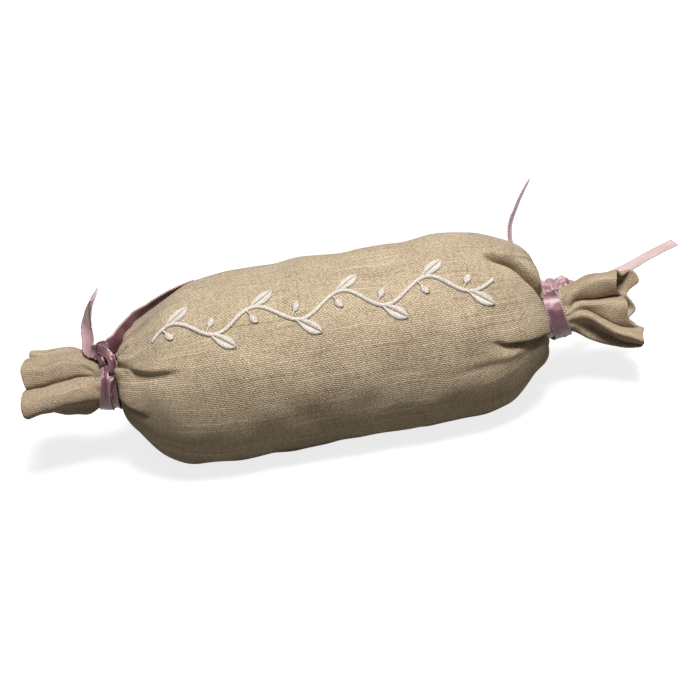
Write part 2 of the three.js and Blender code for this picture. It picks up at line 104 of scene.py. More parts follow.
# a smooth line through points, cut into even steps
def smoothLine(points, count, perGap=24):
    pts = np.array(points, float)
    pts = np.vstack([2 * pts[:1] - pts[1:2], pts, 2 * pts[-1:] - pts[-2:-1]])
    shares = np.linspace(0, 1, perGap, endpoint=False)[:, None]
    fine = [stretch(*four, shares) for four in zip(pts, pts[1:], pts[2:], pts[3:])]
    fine = np.vstack(fine + [pts[-2:-1]])
    walked = walk(fine[:, :3])
    stops = np.linspace(0, walked[-1], count)
    return np.stack([np.interp(stops, walked, column) for column in fine.T], axis=1)


# closed smooth rings through rails: perGap columns from each rail to the next
def smoothRings(rails, perGap):
    shares = np.linspace(0, 1, perGap, endpoint=False)[:, None]
    rails = [rail[:, None] for rail in rails]
    rails = rails[-1:] + rails + rails[:2]
    gaps = [stretch(*four, shares) for four in zip(rails, rails[1:], rails[2:], rails[3:])]
    return np.concatenate(gaps, axis=1)


# lengths along the cloth, column by column from one row, the first column repeated at the end
def lengthsAlong(points, fromRow=0):
    walked = walk(points)
    walked = walked - walked[fromRow]
    return np.concatenate([walked, walked[:, :1]], axis=1)


# lengths across gathered cloth: true beside each ridge column, the rest taken up in the valleys between
def gatheredAcross(points, ridges, full=None):
    valleyFrom, valleyOver = 0.3, 0.4  # shares of the way to the next ridge
    walked = walk(points, axis=1, closed=True)
    full = walked[-1] if full is None else full
    across = np.zeros_like(walked)
    for a, b in zip(ridges, [*ridges[1:], points.shape[1]]):
        here = walked[:, a:b + 1] - walked[:, a:a + 1]
        spare = full[b] - full[a] - here[:, -1:]
        taken = ease((here / here[:, -1:] - valleyFrom) / valleyOver)
        across[:, a:b + 1] = full[a] + here + spare * taken
    return across


# a tube's faces, and the rows and columns of their lengths: four corners each
def tubeFaces(rows, columns):
    i, j = np.meshgrid(np.arange(rows - 1), np.arange(columns), indexing="ij")
    i, j = (np.stack(part, -1).reshape(-1, 4) for part in ((i, i, i + 1, i + 1), (j, j + 1, j + 1, j)))
    return i * columns + j % columns, i, j


def addObject(name, data):
    made = bpy.data.objects.new(name, data)
    bpy.context.collection.objects.link(made)
    return made


# a smooth piece with its pattern lengths as a UV map
def addPiece(name, verts, faces, uvs, material):
    mesh = bpy.data.meshes.new(name)
    mesh.from_pydata((verts * mm).tolist(), [], faces)
    layer = mesh.uv_layers.new(name="clothLengths")
    layer.data.foreach_set("uv", (uvs * uvScale).astype(np.float32).ravel())
    mesh.polygons.foreach_set("use_smooth", [True] * len(mesh.polygons))
    mesh.materials.append(material)
    mesh.update()
    return addObject(name, mesh)


# a tube of rings of points, closed at its ends by tips or, for a strip, by flat faces
def tubePiece(name, points, lengths, material, tips=(None, None), flatEnds=False):
    rows, columns = points.shape[:2]
    quads, i, j = tubeFaces(rows, columns)
    verts = points.reshape(-1, 3)
    caps = []  # row, corners, columns of their lengths
    for tip, row in zip(tips, (0, rows - 1)):
        if tip is None:
            continue
        verts = np.vstack([verts, tip])
        for k in range(columns):
            ends = [row * columns + k, row * columns + (k + 1) % columns]
            caps.append((row, [len(verts) - 1, *ends], [k, k, k + 1]))
    if flatEnds:
        for row in (0, rows - 1):
            for k in range(columns // 2 - 1):
                cut = [k, k + 1, columns - 2 - k, columns - 1 - k]
                caps.append((row, [row * columns + c for c in cut], cut))
    faces = quads.tolist()
    uvs = [lengths[i, j]]
    for row, face, cut in caps:
        way = -1 if row == 0 else 1
        faces.append(face[::way])
        uvs.append(lengths[row, cut[::way]][None])
    # faces look outwards
    a, b, c, d = (verts[quads[:, k]] - verts.mean(0) for k in range(4))
    if np.einsum("ij,ij->", a, np.cross(b, c) + np.cross(c, d)) < 0:
        faces = [face[::-1] for face in faces]
        uvs = [part[:, ::-1] for part in uvs]
    return addPiece(name, verts, faces, np.vstack([part.reshape(-1, 2) for part in uvs]), material)


def finishWith(piece, modifier, **settings):
    bpy.ops.object.select_all(action="DESELECT")
    bpy.context.view_layer.objects.active = piece
    piece.select_set(True)
    added = piece.modifiers.new(modifier.title(), modifier)
    for key, value in settings.items():
        setattr(added, key, value)
    bpy.ops.object.modifier_apply(modifier=added.name)


# camera, as the photograph was taken
view = dict(elevation=30, roll=9.8, aim=(0.0063, -0.0012, 0.0286), distance=0.9, frameWidth=0.25, sensor=36)
viewLift = math.radians(view["elevation"])


def addCamera():
    roll = math.radians(view["roll"])
    back = Vector((0, -math.cos(viewLift), math.sin(viewLift)))
    upward = Vector((0, math.sin(viewLift), math.cos(viewLift)))
    right = Vector((1, 0, 0)) * math.cos(roll) - upward * math.sin(roll)
    up = Vector((1, 0, 0)) * math.sin(roll) + upward * math.cos(roll)
    lens = bpy.data.cameras.new("camera")
    lens.sensor_width = view["sensor"]
    lens.lens = view["sensor"] * view["distance"] / view["frameWidth"]
    camera = addObject("camera", lens)
    place = Matrix((right, up, back)).transposed().to_4x4()
    place.translation = Vector(view["aim"]) + back * view["distance"]
    camera.matrix_world = place
    bpy.context.scene.camera = camera


addCamera()
print("camera set")


# shader sums: a wire is one socket, and sums on wires add Math nodes
class Wire:
    def __init__(self, tree, socket=None):
        self.tree = tree
        self.socket = socket

    def node(self, kind, settings=None, values=None, out=0):
        made = self.tree.nodes.new(kind)
        for key, value in (settings or {}).items():
            setattr(made, key, value)
        for key, value in (values or {}).items():
            if isinstance(value, Wire):
                value.into(made, key)
            else:
                made.inputs[key].default_value = value
        return Wire(self.tree, made.outputs[out])

    def into(self, target, key):
        self.tree.links.new(self.socket, target.inputs[key])

    def sum(self, operation, first, second=0.0):
        return self.node("ShaderNodeMath", {"operation": operation}, {0: first, 1: second})

    def __add__(self, other): return self.sum("ADD", self, other)
    def __radd__(self, other): return self.sum("ADD", other, self)
    def __sub__(self, other): return self.sum("SUBTRACT", self, other)
    def __rsub__(self, other): return self.sum("SUBTRACT", other, self)
    def __mul__(self, other): return self.sum("MULTIPLY", self, other)
    def __truediv__(self, other): return self.sum("DIVIDE", self, other)
    def __abs__(self): return self.sum("ABSOLUTE", self)

    def floor(self): return self.sum("FLOOR", self)
    def sine(self): return self.sum("SINE", self)
    def most(self, other): return self.sum("MAXIMUM", self, other)
    def least(self, other): return self.sum("MINIMUM", self, other)

    def between(self, low, high):  # 0 below low, 1 above high
        return self.node("ShaderNodeMapRange", {"interpolation_type": "SMOOTHSTEP"},
                         {"Value": self, "From Min": low, "From Max": high})

    def tint(self, first, second):  # first colour at 0, second at 1
        return self.node("ShaderNodeMix", {"data_type": "RGBA"}, {0: self, 6: first, 7: second}, out=2)

    def joined(self, x, y, z=0.0):
        return self.node("ShaderNodeCombineXYZ", None, {0: x, 1: y, 2: z})

    def noise(self, place, scale=1.0, detail=2.0, roughness=0.5):
        return self.node("ShaderNodeTexNoise", None,
                         {"Vector": place, "Scale": scale, "Detail": detail, "Roughness": roughness})

    def noiseOver(self, x, scaleX, y, scaleY, layer=0.0, detail=2.0):
        return self.noise(self.joined(x * scaleX, y * scaleY, layer), detail=detail)

    def emboss(self, surface, strength, distance):
        self.node("ShaderNodeBump", None, {"Strength": strength, "Distance": distance,
                                           "Height": self}).into(surface, "Normal")


def startMaterial(name, **shader):
    material = bpy.data.materials.new(name)
    material.use_nodes = True
    tree = material.node_tree
    surface = tree.nodes["Principled BSDF"]
    for key, value in shader.items():
        surface.inputs[key.replace("_", " ")].default_value = value
    return material, Wire(tree), surface


def shade(hexColour):  # linear colour of a hex sRGB one
    parts = [int(hexColour[k:k + 2], 16) / 255 for k in (0, 2, 4)]
    return tuple(p / 12.92 if p <= 0.04045 else ((p + 0.055) / 1.055) ** 2.4 for p in parts) + (1.0,)


def clothPlace(wire):  # pattern lengths in millimetres
    uv = wire.node("ShaderNodeUVMap", {"uv_map": "clothLengths"})
    parts = wire.node("ShaderNodeSeparateXYZ", None, {0: uv}).socket.node
    return [Wire(wire.tree, parts.outputs[k]) * (1 / uvScale) for k in (0, 1)]


# linen: tones are shares of the way from the gaps' colour to the threads'
linenLook = dict(pitchAlong=0.583, pitchAcross=0.72, crisp=1.5, rising=0.07, falling=0.14, rows=0.3,
                 sway=3.0, waver=0.3, spots=0.3, slub=0.45, thin=0.4, grit=0.7, cloud=0.3, fleck=0.6,
                 dark="8a7052", relief=0.0004)


# a plain weave: height of the threads, shade of their crossings, and the number of each thread
def plainWeave(along, across, look):
    a, b = along / look["pitchAlong"], across / look["pitchAcross"]
    sineA, sineB = (a * math.pi).sine(), (b * math.pi).sine()
    over = (sineA * sineB * look["crisp"]).most(-1.0).least(1.0)
    lengthwise = abs(sineB) * (over * 0.5 + 0.5)
    crosswise = abs(sineA) * (0.5 - over * 0.5)
    # the twist of the yarn makes one diagonal of the crossings stand out
    falling = ((a + b + 0.5) * math.pi).sine()
    rising = ((a - b + 0.5) * math.pi).sine()
    meanSine = 0.64
    crossing = rising * look["rising"] - falling * look["falling"] + (abs(sineB) - meanSine) * look["rows"]
    return lengthwise.most(crosswise), crossing, a.floor(), b.floor()


def linenMaterial(name, contrast, light, gap):
    look = linenLook
    material, wire, surface = startMaterial(
        name, Roughness=0.92, Specular_IOR_Level=0.15, Sheen_Weight=0.08, Sheen_Roughness=0.5)
    along, across = clothPlace(wire)
    # threads aren't straight or evenly spaced
    sway = wire.noiseOver(along, 0.04, across, 0.04)
    waver = wire.noiseOver(along, 0.5, across, 0.5, layer=7.0, detail=1.0)
    alongBent = along + (waver - 0.5) * look["waver"]
    acrossBent = across + (sway - 0.5) * look["sway"] + (waver - 0.5) * look["waver"]
    height, crossing, crossNumber, lengthNumber = plainWeave(alongBent, acrossBent, look)
    # slubs: thick pale stretches of a lengthwise thread, and a few crosswise
    lengthShade = wire.noiseOver(along, 0.028, lengthNumber, 7.31)
    crossShade = wire.noiseOver(crossNumber, 5.17, across, 0.035, layer=3.0)
    slub = lengthShade.between(0.57, 0.7) * 0.5 + crossShade.between(0.62, 0.75) * 0.25
    thin = lengthShade.between(0.44, 0.3) * 0.4 + crossShade.between(0.4, 0.28) * 0.3
    spot = wire.node("ShaderNodeTexWhiteNoise", {"noise_dimensions": "2D"},
                     {"Vector": wire.joined(crossNumber, lengthNumber)})
    cloud = wire.noiseOver(along, 0.06, across, 0.06, layer=11.0, detail=3.0)
    grit = wire.noiseOver(along, 1.3, across, 1.3, layer=2.0)
    uneven = crossing + (spot - 0.5) * look["spots"] + slub * look["slub"] - thin * look["thin"]
    uneven = uneven + (grit - 0.5) * look["grit"]
    tone = 0.5 + uneven * contrast + (cloud - 0.5) * look["cloud"]
    yarn = tone.most(0.0).least(1.0).tint(shade(gap), shade(light))
    fleck = wire.noiseOver(along, 0.45, across, 1.7, layer=5.0).between(0.68, 0.76)
    (fleck * look["fleck"]).tint(yarn, shade(look["dark"])).into(surface, "Base Color")
    (height * 0.7 + slub * 0.5 + grit * 0.4).emboss(surface, 1.0, look["relief"] * contrast)
    return material


satinLook = dict(edge="d8bfc0", between="75505c", half=3.0, edgeWide=(0.5, 0.35), loop=0.95, rib=0.24,
                 rough=0.33, relief=2e-05)


def satinMaterial(name, pale, deep):
    look = satinLook
    material, wire, surface = startMaterial(name, Specular_IOR_Level=0.7, Specular_Tint=(1, 0.78, 0.79, 1))
    along, across = clothPlace(wire)
    thread = wire.noiseOver(along, 0.12, across, 7.0)
    drift = wire.noiseOver(along, 0.15, across, 0.25, layer=4.0)
    colour = (thread * 0.25 + drift * 0.75).between(0.25, 0.75).tint(shade(deep), shade(pale))
    # woven edge: short pale loops with dark between them
    edge = abs(across).between(*(look["half"] - wide for wide in look["edgeWide"]))
    loops = (along * (math.pi * 2 / look["loop"])).sine().between(-0.35, 0.35)
    colour = (edge * loops * 0.8).tint(colour, shade(look["edge"]))
    (edge * (1 - loops) * 0.5).tint(colour, shade(look["between"])).into(surface, "Base Color")
    (look["rough"] + thread * 0.05 + edge * 0.15).into(surface, "Roughness")
    rib = (along * (math.pi * 2 / look["rib"])).sine()
    (thread * 0.12 + rib * 0.08 + edge * loops * 1.2).emboss(surface, 0.5, look["relief"])
    return material


flossLook = dict(light="e6ddd2", dark="bdb2a6", relief=5e-05)


def flossMaterial(name):
    material, wire, surface = startMaterial(name, Roughness=0.42, Specular_IOR_Level=0.55, Sheen_Weight=0.2)
    along, across = clothPlace(wire)
    strand = wire.noiseOver(along, 0.3, across, 3.0)
    colour = strand.between(0.25, 0.75).tint(shade(flossLook["dark"]), shade(flossLook["light"]))
    colour.into(surface, "Base Color")
    twist = ((along * 0.9 + across * 2.4) * math.pi * 2).sine()
    (twist + strand).emboss(surface, 0.6, flossLook["relief"])
    return material


# hidden cloths and the flowers, on Object coordinates
def innerMaterial(name, light, dark, scale, depth):
    material, wire, surface = startMaterial(name, Roughness=0.95, Specular_IOR_Level=0.15)
    place = wire.node("ShaderNodeTexCoord", out=3)
    grain = wire.noise(place, scale, 4.0, 0.65)
    spread = wire.noise(place, scale * 0.12)
    tone = (grain * 0.65 + spread * 0.35).between(0.32, 0.68)
    tone.tint(shade(dark), shade(light)).into(surface, "Base Color")
    grain.emboss(surface, 0.8, depth)
    return material


linen = linenMaterial("naturalLinen", 0.86, "e9d5b6", "7a6449")
# the ruffles' linen: the bag's linen in darker colours, painted shade over the ruffles at the ends
shadedRuffleLinen = linenMaterial("shadedRuffleLinen", 0.6, "dac5a8", "6f5941")
satin = satinMaterial("mauveSatin", "7c525d", "45262f")
# a lighter copy of the ribbon's satin for the upward tails: painted light where they face the lamp
litTailSatin = satinMaterial("litTailSatin", "d9b1b5", "b1898f")
# a lighter copy of the ribbon's satin for the right knot: painted light on its upper bunch
litKnotSatin = satinMaterial("litKnotSatin", "b8979b", "8f6d72")
# the palest copy of the ribbon's satin for the outward tail: painted light and highlight on its lit face
brightLitTailSatin = satinMaterial("brightLitTailSatin", "d3bbb6", "bda19d")
floss = flossMaterial("whiteFloss")
innerLooks = dict(
    inner_bag=("plainMuslin", "f2e9d8", "cfc2ab", 1400, 0.0002),
    inner_bag_tuft=("tuftMuslin", "efe5d2", "c9bba2", 1400, 0.0002),
    lavender_fill=("driedFlowers", "8a7fa6", "3f3a52", 420, 0.0012),
    seam_allowance=("seamLinen", "cfba98", "8f7657", 1300, 0.0002),
    seam_thread=("seamFloss", "efe8da", "b9ad97", 2200, 0.0001),
    embroidery_backing=("softBacking", "f4f3ee", "d5d3ca", 900, 0.0002),
)
for node, look in innerLooks.items():
    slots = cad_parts[node].data.materials
    slots.clear()
    slots.append(innerMaterial(*look))
print("materials made")


# the bag
bag = dict(width=69, rise=63, sink=2.8, tieSpan=160, tieLength=7.4, neckRadius=9.2, shoulders=(44, 35),
           neckHeights=(32.5, 29), neckTilts=(5, -11), neckBend=18, pinch=0.7, pinchReach=3.6,
           domeLength=4.2, domeShown=0.97, tip=0.3, seamAngle=205, seamDip=0.5, seamReach=0.9,
           seamRadius=32, puff=0.9, puffAt=9, puffReach=7, puffFrom=3, slackFrom=6, overhangReach=4.5,
           flatFrom=0.35, columns=400, middleRows=48, shoulderRows=84, neckRows=12)
tieAt = bag["tieSpan"] / 2
shoulderStart = (bag["tieSpan"] - bag["tieLength"]) / 2

# gathers at each neck: angle, depth, length from the tie, width
gathers = {
    -1: [(-70, 2.2, 15, 1.6), (-42, 1.6, 10, 1.4), (88, 2.2, 14, 1.6), (118, 2.6, 17, 1.8),
         (150, 2.4, 15, 1.6), (182, 2.8, 20, 1.8), (222, 2.2, 14, 1.6), (252, 2.6, 18, 1.8)],
    1: [(-66, 2.4, 16, 1.8), (-32, 1.8, 12, 1.6), (104, 2.4, 14, 1.6), (130, 2.6, 18, 1.8),
        (160, 2.2, 14, 1.6), (186, 2.8, 20, 1.8), (224, 2.2, 15, 1.6), (256, 2.6, 18, 1.8)],
}
gatherForm = dict(arcRadius=31.5, sway=0.08, swayLength=5, widens=0.1, sharp=1.4, bagFrom=(3, 6),
                  neckFrom=(5, 10), neckShare=0.9)
# where the cloth lies smooth between them, from the seam round
ridges = {
    -1: [205, 237, 271, 304, 332, 357, 386, 426, 463, 494, 526],
    1: [205, 240, 275, 311, 346, 386, 435, 477, 505, 533],
}

# folds seen in the photograph, their lines as (x, angle) from the tie; side 1 puts the lip on the left
foldKeys = ("deep", "wide", "slope", "lip", "lipWide", "lean", "side", "fade", "line")
folds = [dict(zip(foldKeys, row)) for row in (
    (4.6, 1.2, 1.7, 2.3, 6.5, 2.2, -1, 0.32,
     [(76.2, 56), (73.8, 55), (70.5, 60), (68.6, 65), (66.8, 71), (64.7, 75.5), (62.8, 77.5), (60.4, 78.5),
      (58, 78.5), (55, 78)]),
    (4.2, 1.3, 2, 1.6, 6, 2.2, -1, 0.6,
     [(76.2, 6), (72, 9), (68.3, 10), (64.1, 12), (60.7, 13), (57.4, 15), (53, 16)]),
    (1.8, 1.1, 1.6, 0.4, 3, 0.8, -1, 0.7,
     [(75.5, 4), (73.2, 2), (70.8, 2), (67.7, 2), (64, 1)]),
    (0.6, 2.2, 1.5, 0.2, 5, 0.2, -1, 0.6,
     [(66, -3), (61.4, -1), (53.8, 1), (42.4, 1), (33, 2)]),
    (4, 1.1, 1.5, 1, 4, 1.2, -1, 0.6,
     [(-76.3, 48), (-75.6, 54), (-74, 62), (-71.4, 71)]),
    (1.8, 1.1, 1.6, 0.8, 4, 0.8, -1, 0.7,
     [(-76.3, 48), (-74.5, 45), (-72, 43), (-69, 41)]),
    (1.3, 1.6, 2.2, 0.9, 3.6, 0.4, 1, 0.5,
     [(-71, 38), (-65.3, 33), (-58.3, 31), (-54.3, 31), (-49, 32)]),
    (3.4, 1.2, 1.6, 1, 4.5, 1.6, 1, 0.6,
     [(-76.2, 4), (-75, 3), (-72, 2), (-68.9, -1), (-66, -4)]),
)]
# form of every fold: points of its line, radius for its angles, reaches; the rest are shares of its sizes
foldForm = dict(points=60, radius=30, reach=16, startAt=0.12, startOver=0.2, endReach=3, steep=0.9,
                lipFrom=1.6, lipAt=0.55, lipReach=0.8, rollFrom=1.2, rollReach=0.9)

# cloth that bulges over a tie: side, angle, its half width in degrees, how far out, distance from the tie
overhangs = [(1, 78, 34, -4.0, 11), (1, 72, 34, -4.0, 5), (1, 18, 22, -1.6, 6), (-1, 26, 24, -1.4, 3.0)]

# swellings and hollows: height, x and its reach, angle and its reach in radians
swells = [(3.0, -57, 15, -1.0, 0.65), (-3.0, -63, 12, 2.0, 0.5), (-2.3, -72, 7, -1.0, 0.6),
          (1.2, 68, 8, -0.9, 0.8), (1.7, 75.5, 3, -1.0, 0.6), (1.6, 52, 16, 1.9, 0.6)]
slacks = [(26, 3, 0.3), (11, 5, 0.14)]  # size, seed, height


def atEnd(x, pair):  # the left end's value or the right end's
    return np.where(x > 0, pair[1], pair[0])


# distance from the tie, length of the shoulder, and how far it has swelled there
def swelling(x):
    reach = shoulderStart - np.abs(x)
    shoulder = atEnd(x, bag["shoulders"])
    return reach, shoulder, np.sqrt(1 - (1 - np.clip(reach / shoulder, 0, 1)) ** 2)


def bagBase(x, angle):
    side = np.where(x > 0, 1.0, -1.0)
    neckHeight = atEnd(x, bag["neckHeights"])
    reach, _, full = swelling(x)
    neck = bag["neckRadius"] - bag["pinch"] * bump(np.abs(x) - tieAt, bag["pinchReach"])
    past = np.clip((np.abs(x) - tieAt - bag["tieLength"] / 2) / bag["domeLength"], 0, 1)
    neck = neck * np.sqrt(1 - past ** 2)
    y = -mix(neck, bag["width"] / 2, full) * np.cos(angle)
    middle = mix(neckHeight, (bag["rise"] - bag["sink"]) / 2, full)
    z = middle + mix(neck, (bag["rise"] + bag["sink"]) / 2, full) * np.sin(angle)
    tilt = np.radians(atEnd(x, bag["neckTilts"]))
    bend = -side * tilt * ease(1 - reach / bag["neckBend"])
    dx, dz = x - side * tieAt, z - neckHeight
    px = side * tieAt + dx * np.cos(bend) + dz * np.sin(bend)
    pz = neckHeight - dx * np.sin(bend) + dz * np.cos(bend)
    return np.stack([px, y, pz], -1)


def bagNormal(x, angle, turn=0.004, coarse=0.2, fine=0.02):
    turned = bagBase(x, angle + turn) - bagBase(x, angle - turn)
    inner = np.where(np.abs(x) < shoulderStart - fine, 1.0, 0.0)
    step = np.where(np.abs(x) < shoulderStart - max(bag["shoulders"]), coarse, fine * inner + fine)
    along = bagBase(x + step, angle) - bagBase(x - step, angle)
    return unit(np.cross(along, turned))


# how a fold presses the cloth in along its line and rolls a lip over it
def pressFold(points, normals, fold):
    form, line = foldForm, np.array(fold["line"], float)
    laid = np.column_stack([line[:, 0], np.radians(line[:, 1]) * form["radius"], 0 * line[:, 0]])
    path = smoothLine(laid, form["points"])
    path = bagBase(path[:, 0], path[:, 1] / form["radius"])
    along = unit(np.gradient(path, axis=0))
    flat = points.reshape(-1, 3)
    near = (np.abs(flat - path.mean(0)) < np.ptp(path, axis=0) / 2 + form["reach"]).all(1)
    near = np.flatnonzero(near)
    moved = np.zeros_like(flat)
    if len(near) == 0:
        return moved.reshape(points.shape)
    gaps = np.linalg.norm(flat[near][:, None] - path[None], axis=2)
    nearest, gap = gaps.argmin(1), gaps.min(1)
    share = nearest / (len(path) - 1)
    normal = normals.reshape(-1, 3)[near]
    across = unit(np.cross(normal, along[nearest])) * fold["side"]
    offset = ((flat[near] - path[nearest]) * across).sum(1)
    past = np.maximum(gap - np.abs(offset), 0)
    offset = np.sign(offset) * gap
    strength = ease((1 - share) / fold["fade"]) * ease((share + form["startAt"]) / form["startOver"])
    atEnds = (nearest == len(path) - 1) | (nearest == 0)
    strength = strength * np.where(atEnds, bump(past, form["endReach"]), 1)
    wide, lipWide = fold["wide"], fold["lipWide"]
    valley = bump(offset, wide * np.where(offset > 0, form["steep"], fold["slope"]))
    beyond = np.maximum(offset - lipWide * form["lipAt"], 0)
    lip = ease(offset / (form["lipFrom"] * wide)) * bump(beyond, lipWide * form["lipReach"])
    beyond = np.maximum(offset - form["rollFrom"] * wide, 0)
    roll = ease(offset / (form["rollFrom"] * wide)) * bump(beyond, lipWide * form["rollReach"])
    moved[near] = normal * (strength * (fold["lip"] * lip - fold["deep"] * valley))[:, None]
    moved[near] -= across * (strength * roll * fold["lean"])[:, None]
    return moved.reshape(points.shape)


# how deep the gathers press in, and the cloth's length from the tie
def gatherDepth(x, angle):
    form = gatherForm
    depth = np.zeros(np.broadcast(x, angle).shape)
    reach, shoulder, full = swelling(x)
    arc = np.arccos(np.clip(1 - reach / shoulder, -1, 1)) * form["arcRadius"]
    arc = np.where(reach > 0, arc, reach)
    radius = mix(bag["neckRadius"], bag["width"] / 2, full)
    (bagFrom, bagOver), (neckFrom, neckOver) = form["bagFrom"], form["neckFrom"]
    onNeck = ease((arc + neckFrom) / neckOver) * form["neckShare"]
    for side, rows in gathers.items():
        here = np.where(x * side > 0, 1.0, 0.0)
        for middle, deep, length, width in rows:
            sway = np.radians(middle) + form["sway"] * np.sin(arc / form["swayLength"] + middle)
            away = np.abs(turnGap(angle, sway)) * radius / (width + form["widens"] * np.maximum(arc, 0))
            fade = np.where(arc > 0, bump(arc, length) * ease((arc + bagFrom) / bagOver), onNeck)
            depth = depth + here * deep * fade * np.exp(-away ** form["sharp"])
    return depth, arc


# the visible cloth of the bag, at a lift above it
def bagSkin(x, angle, lift=0.0):
    x, angle = np.broadcast_arrays(np.asarray(x, float), np.asarray(angle, float))
    points = bagBase(x, angle)
    normals = bagNormal(x, angle)
    depth, arc = gatherDepth(x, angle)
    puff = bump(arc - bag["puffAt"], bag["puffReach"]) * np.where(arc > 0, ease(arc / bag["puffFrom"]), 0)
    push = bag["puff"] * puff - depth
    for height, at, reach, middle, spread in swells:
        push = push + height * bump(x - at, reach) * bump(turnGap(angle, middle), spread)
    fromSeam = turnGap(angle, math.radians(bag["seamAngle"])) * bag["seamRadius"]
    push = push - bag["seamDip"] * bump(fromSeam, bag["seamReach"])
    for size, seed, height in slacks:
        push = push + unevenness(points, size, seed) * height * ease(arc / bag["slackFrom"])
    moved = points + normals * push[..., None]
    for side, middle, half, out, at in overhangs:
        away = np.degrees(turnGap(angle, math.radians(middle)))
        bulge = side * out * bump(away, half) * bump(arc - at, bag["overhangReach"])
        moved[..., 0] += np.where(x * side > 0, bulge, 0)
    for fold in folds:
        moved = moved + pressFold(points, normals, fold)
    moved = moved + normals * lift
    # the cloth flattens on what it stands on
    low, z = bag["flatFrom"], moved[..., 2]
    moved[..., 2] = np.where(z < low, low * np.exp(np.clip(z / low - 1, -8, 0)), z)
    return moved


def standsFor(piece, body, node):
    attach(piece, body)
    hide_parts(node)


def makeBag():
    count = bag["columns"]
    turnSteps = np.linspace(0, 2 * np.pi, count, endpoint=False) + math.radians(bag["seamAngle"])
    lean = np.linspace(0, np.pi / 2, bag["shoulderRows"], endpoint=False)
    neckEnd = tieAt + bag["tieLength"] / 2 + bag["domeLength"] * bag["domeShown"]
    neck = np.linspace(neckEnd, shoulderStart, bag["neckRows"], endpoint=False)
    left, right = [np.concatenate([neck, shoulderStart - length * (1 - np.cos(lean))])
                   for length in bag["shoulders"]]
    straight = [shoulderStart - length for length in bag["shoulders"]]
    middle = np.linspace(-straight[0], straight[1], bag["middleRows"] + 1)
    rows = np.concatenate([-left, middle, right[::-1]])
    points = bagSkin(rows[:, None], turnSteps[None, :])
    half = len(left) + bag["middleRows"] // 2
    full = walk(points[half], closed=True)
    across = []
    for side, part in ((-1, points[:half]), (1, points[half:])):
        columns = [round((angle - bag["seamAngle"]) / 360 * count) for angle in ridges[side]]
        across.append(gatheredAcross(part, columns, full))
    lengths = np.stack([lengthsAlong(points, half), np.vstack(across)], -1)
    tips = [points[row].mean(0) + [side * bag["tip"], 0, 0] for row, side in ((0, -1), (-1, 1))]
    piece = tubePiece("linenBag", points, lengths, linen, tips)
    standsFor(piece, "bag", "linen_cover")


makeBag()
print("bag made")


# a place at a tie: out along its axis, across to the back and up
def fromNeck(side, out, across=0.0, up=0.0):
    tilt = math.radians(bag["neckTilts"][side > 0])
    x = side * (tieAt + out * math.cos(tilt) - up * math.sin(tilt))
    z = bag["neckHeights"][side > 0] + out * math.sin(tilt) + up * math.cos(tilt)
    return np.stack(np.broadcast_arrays(x, across, z), -1)


# a place as seen: along the axis from a tie, up in view, towards the viewer
def fromView(side, steps):
    sine, cosine = 0.5, 0.866  # of the view's elevation
    u, v, w = np.moveaxis(np.array(steps, float), -1, 0)
    x = (side * tieAt + u) * (1 - w * mm / view["distance"])  # nearer things look wider
    return np.stack([x, sine * v - cosine * w, bag["neckHeights"][side > 0] + cosine * v + sine * w], -1)


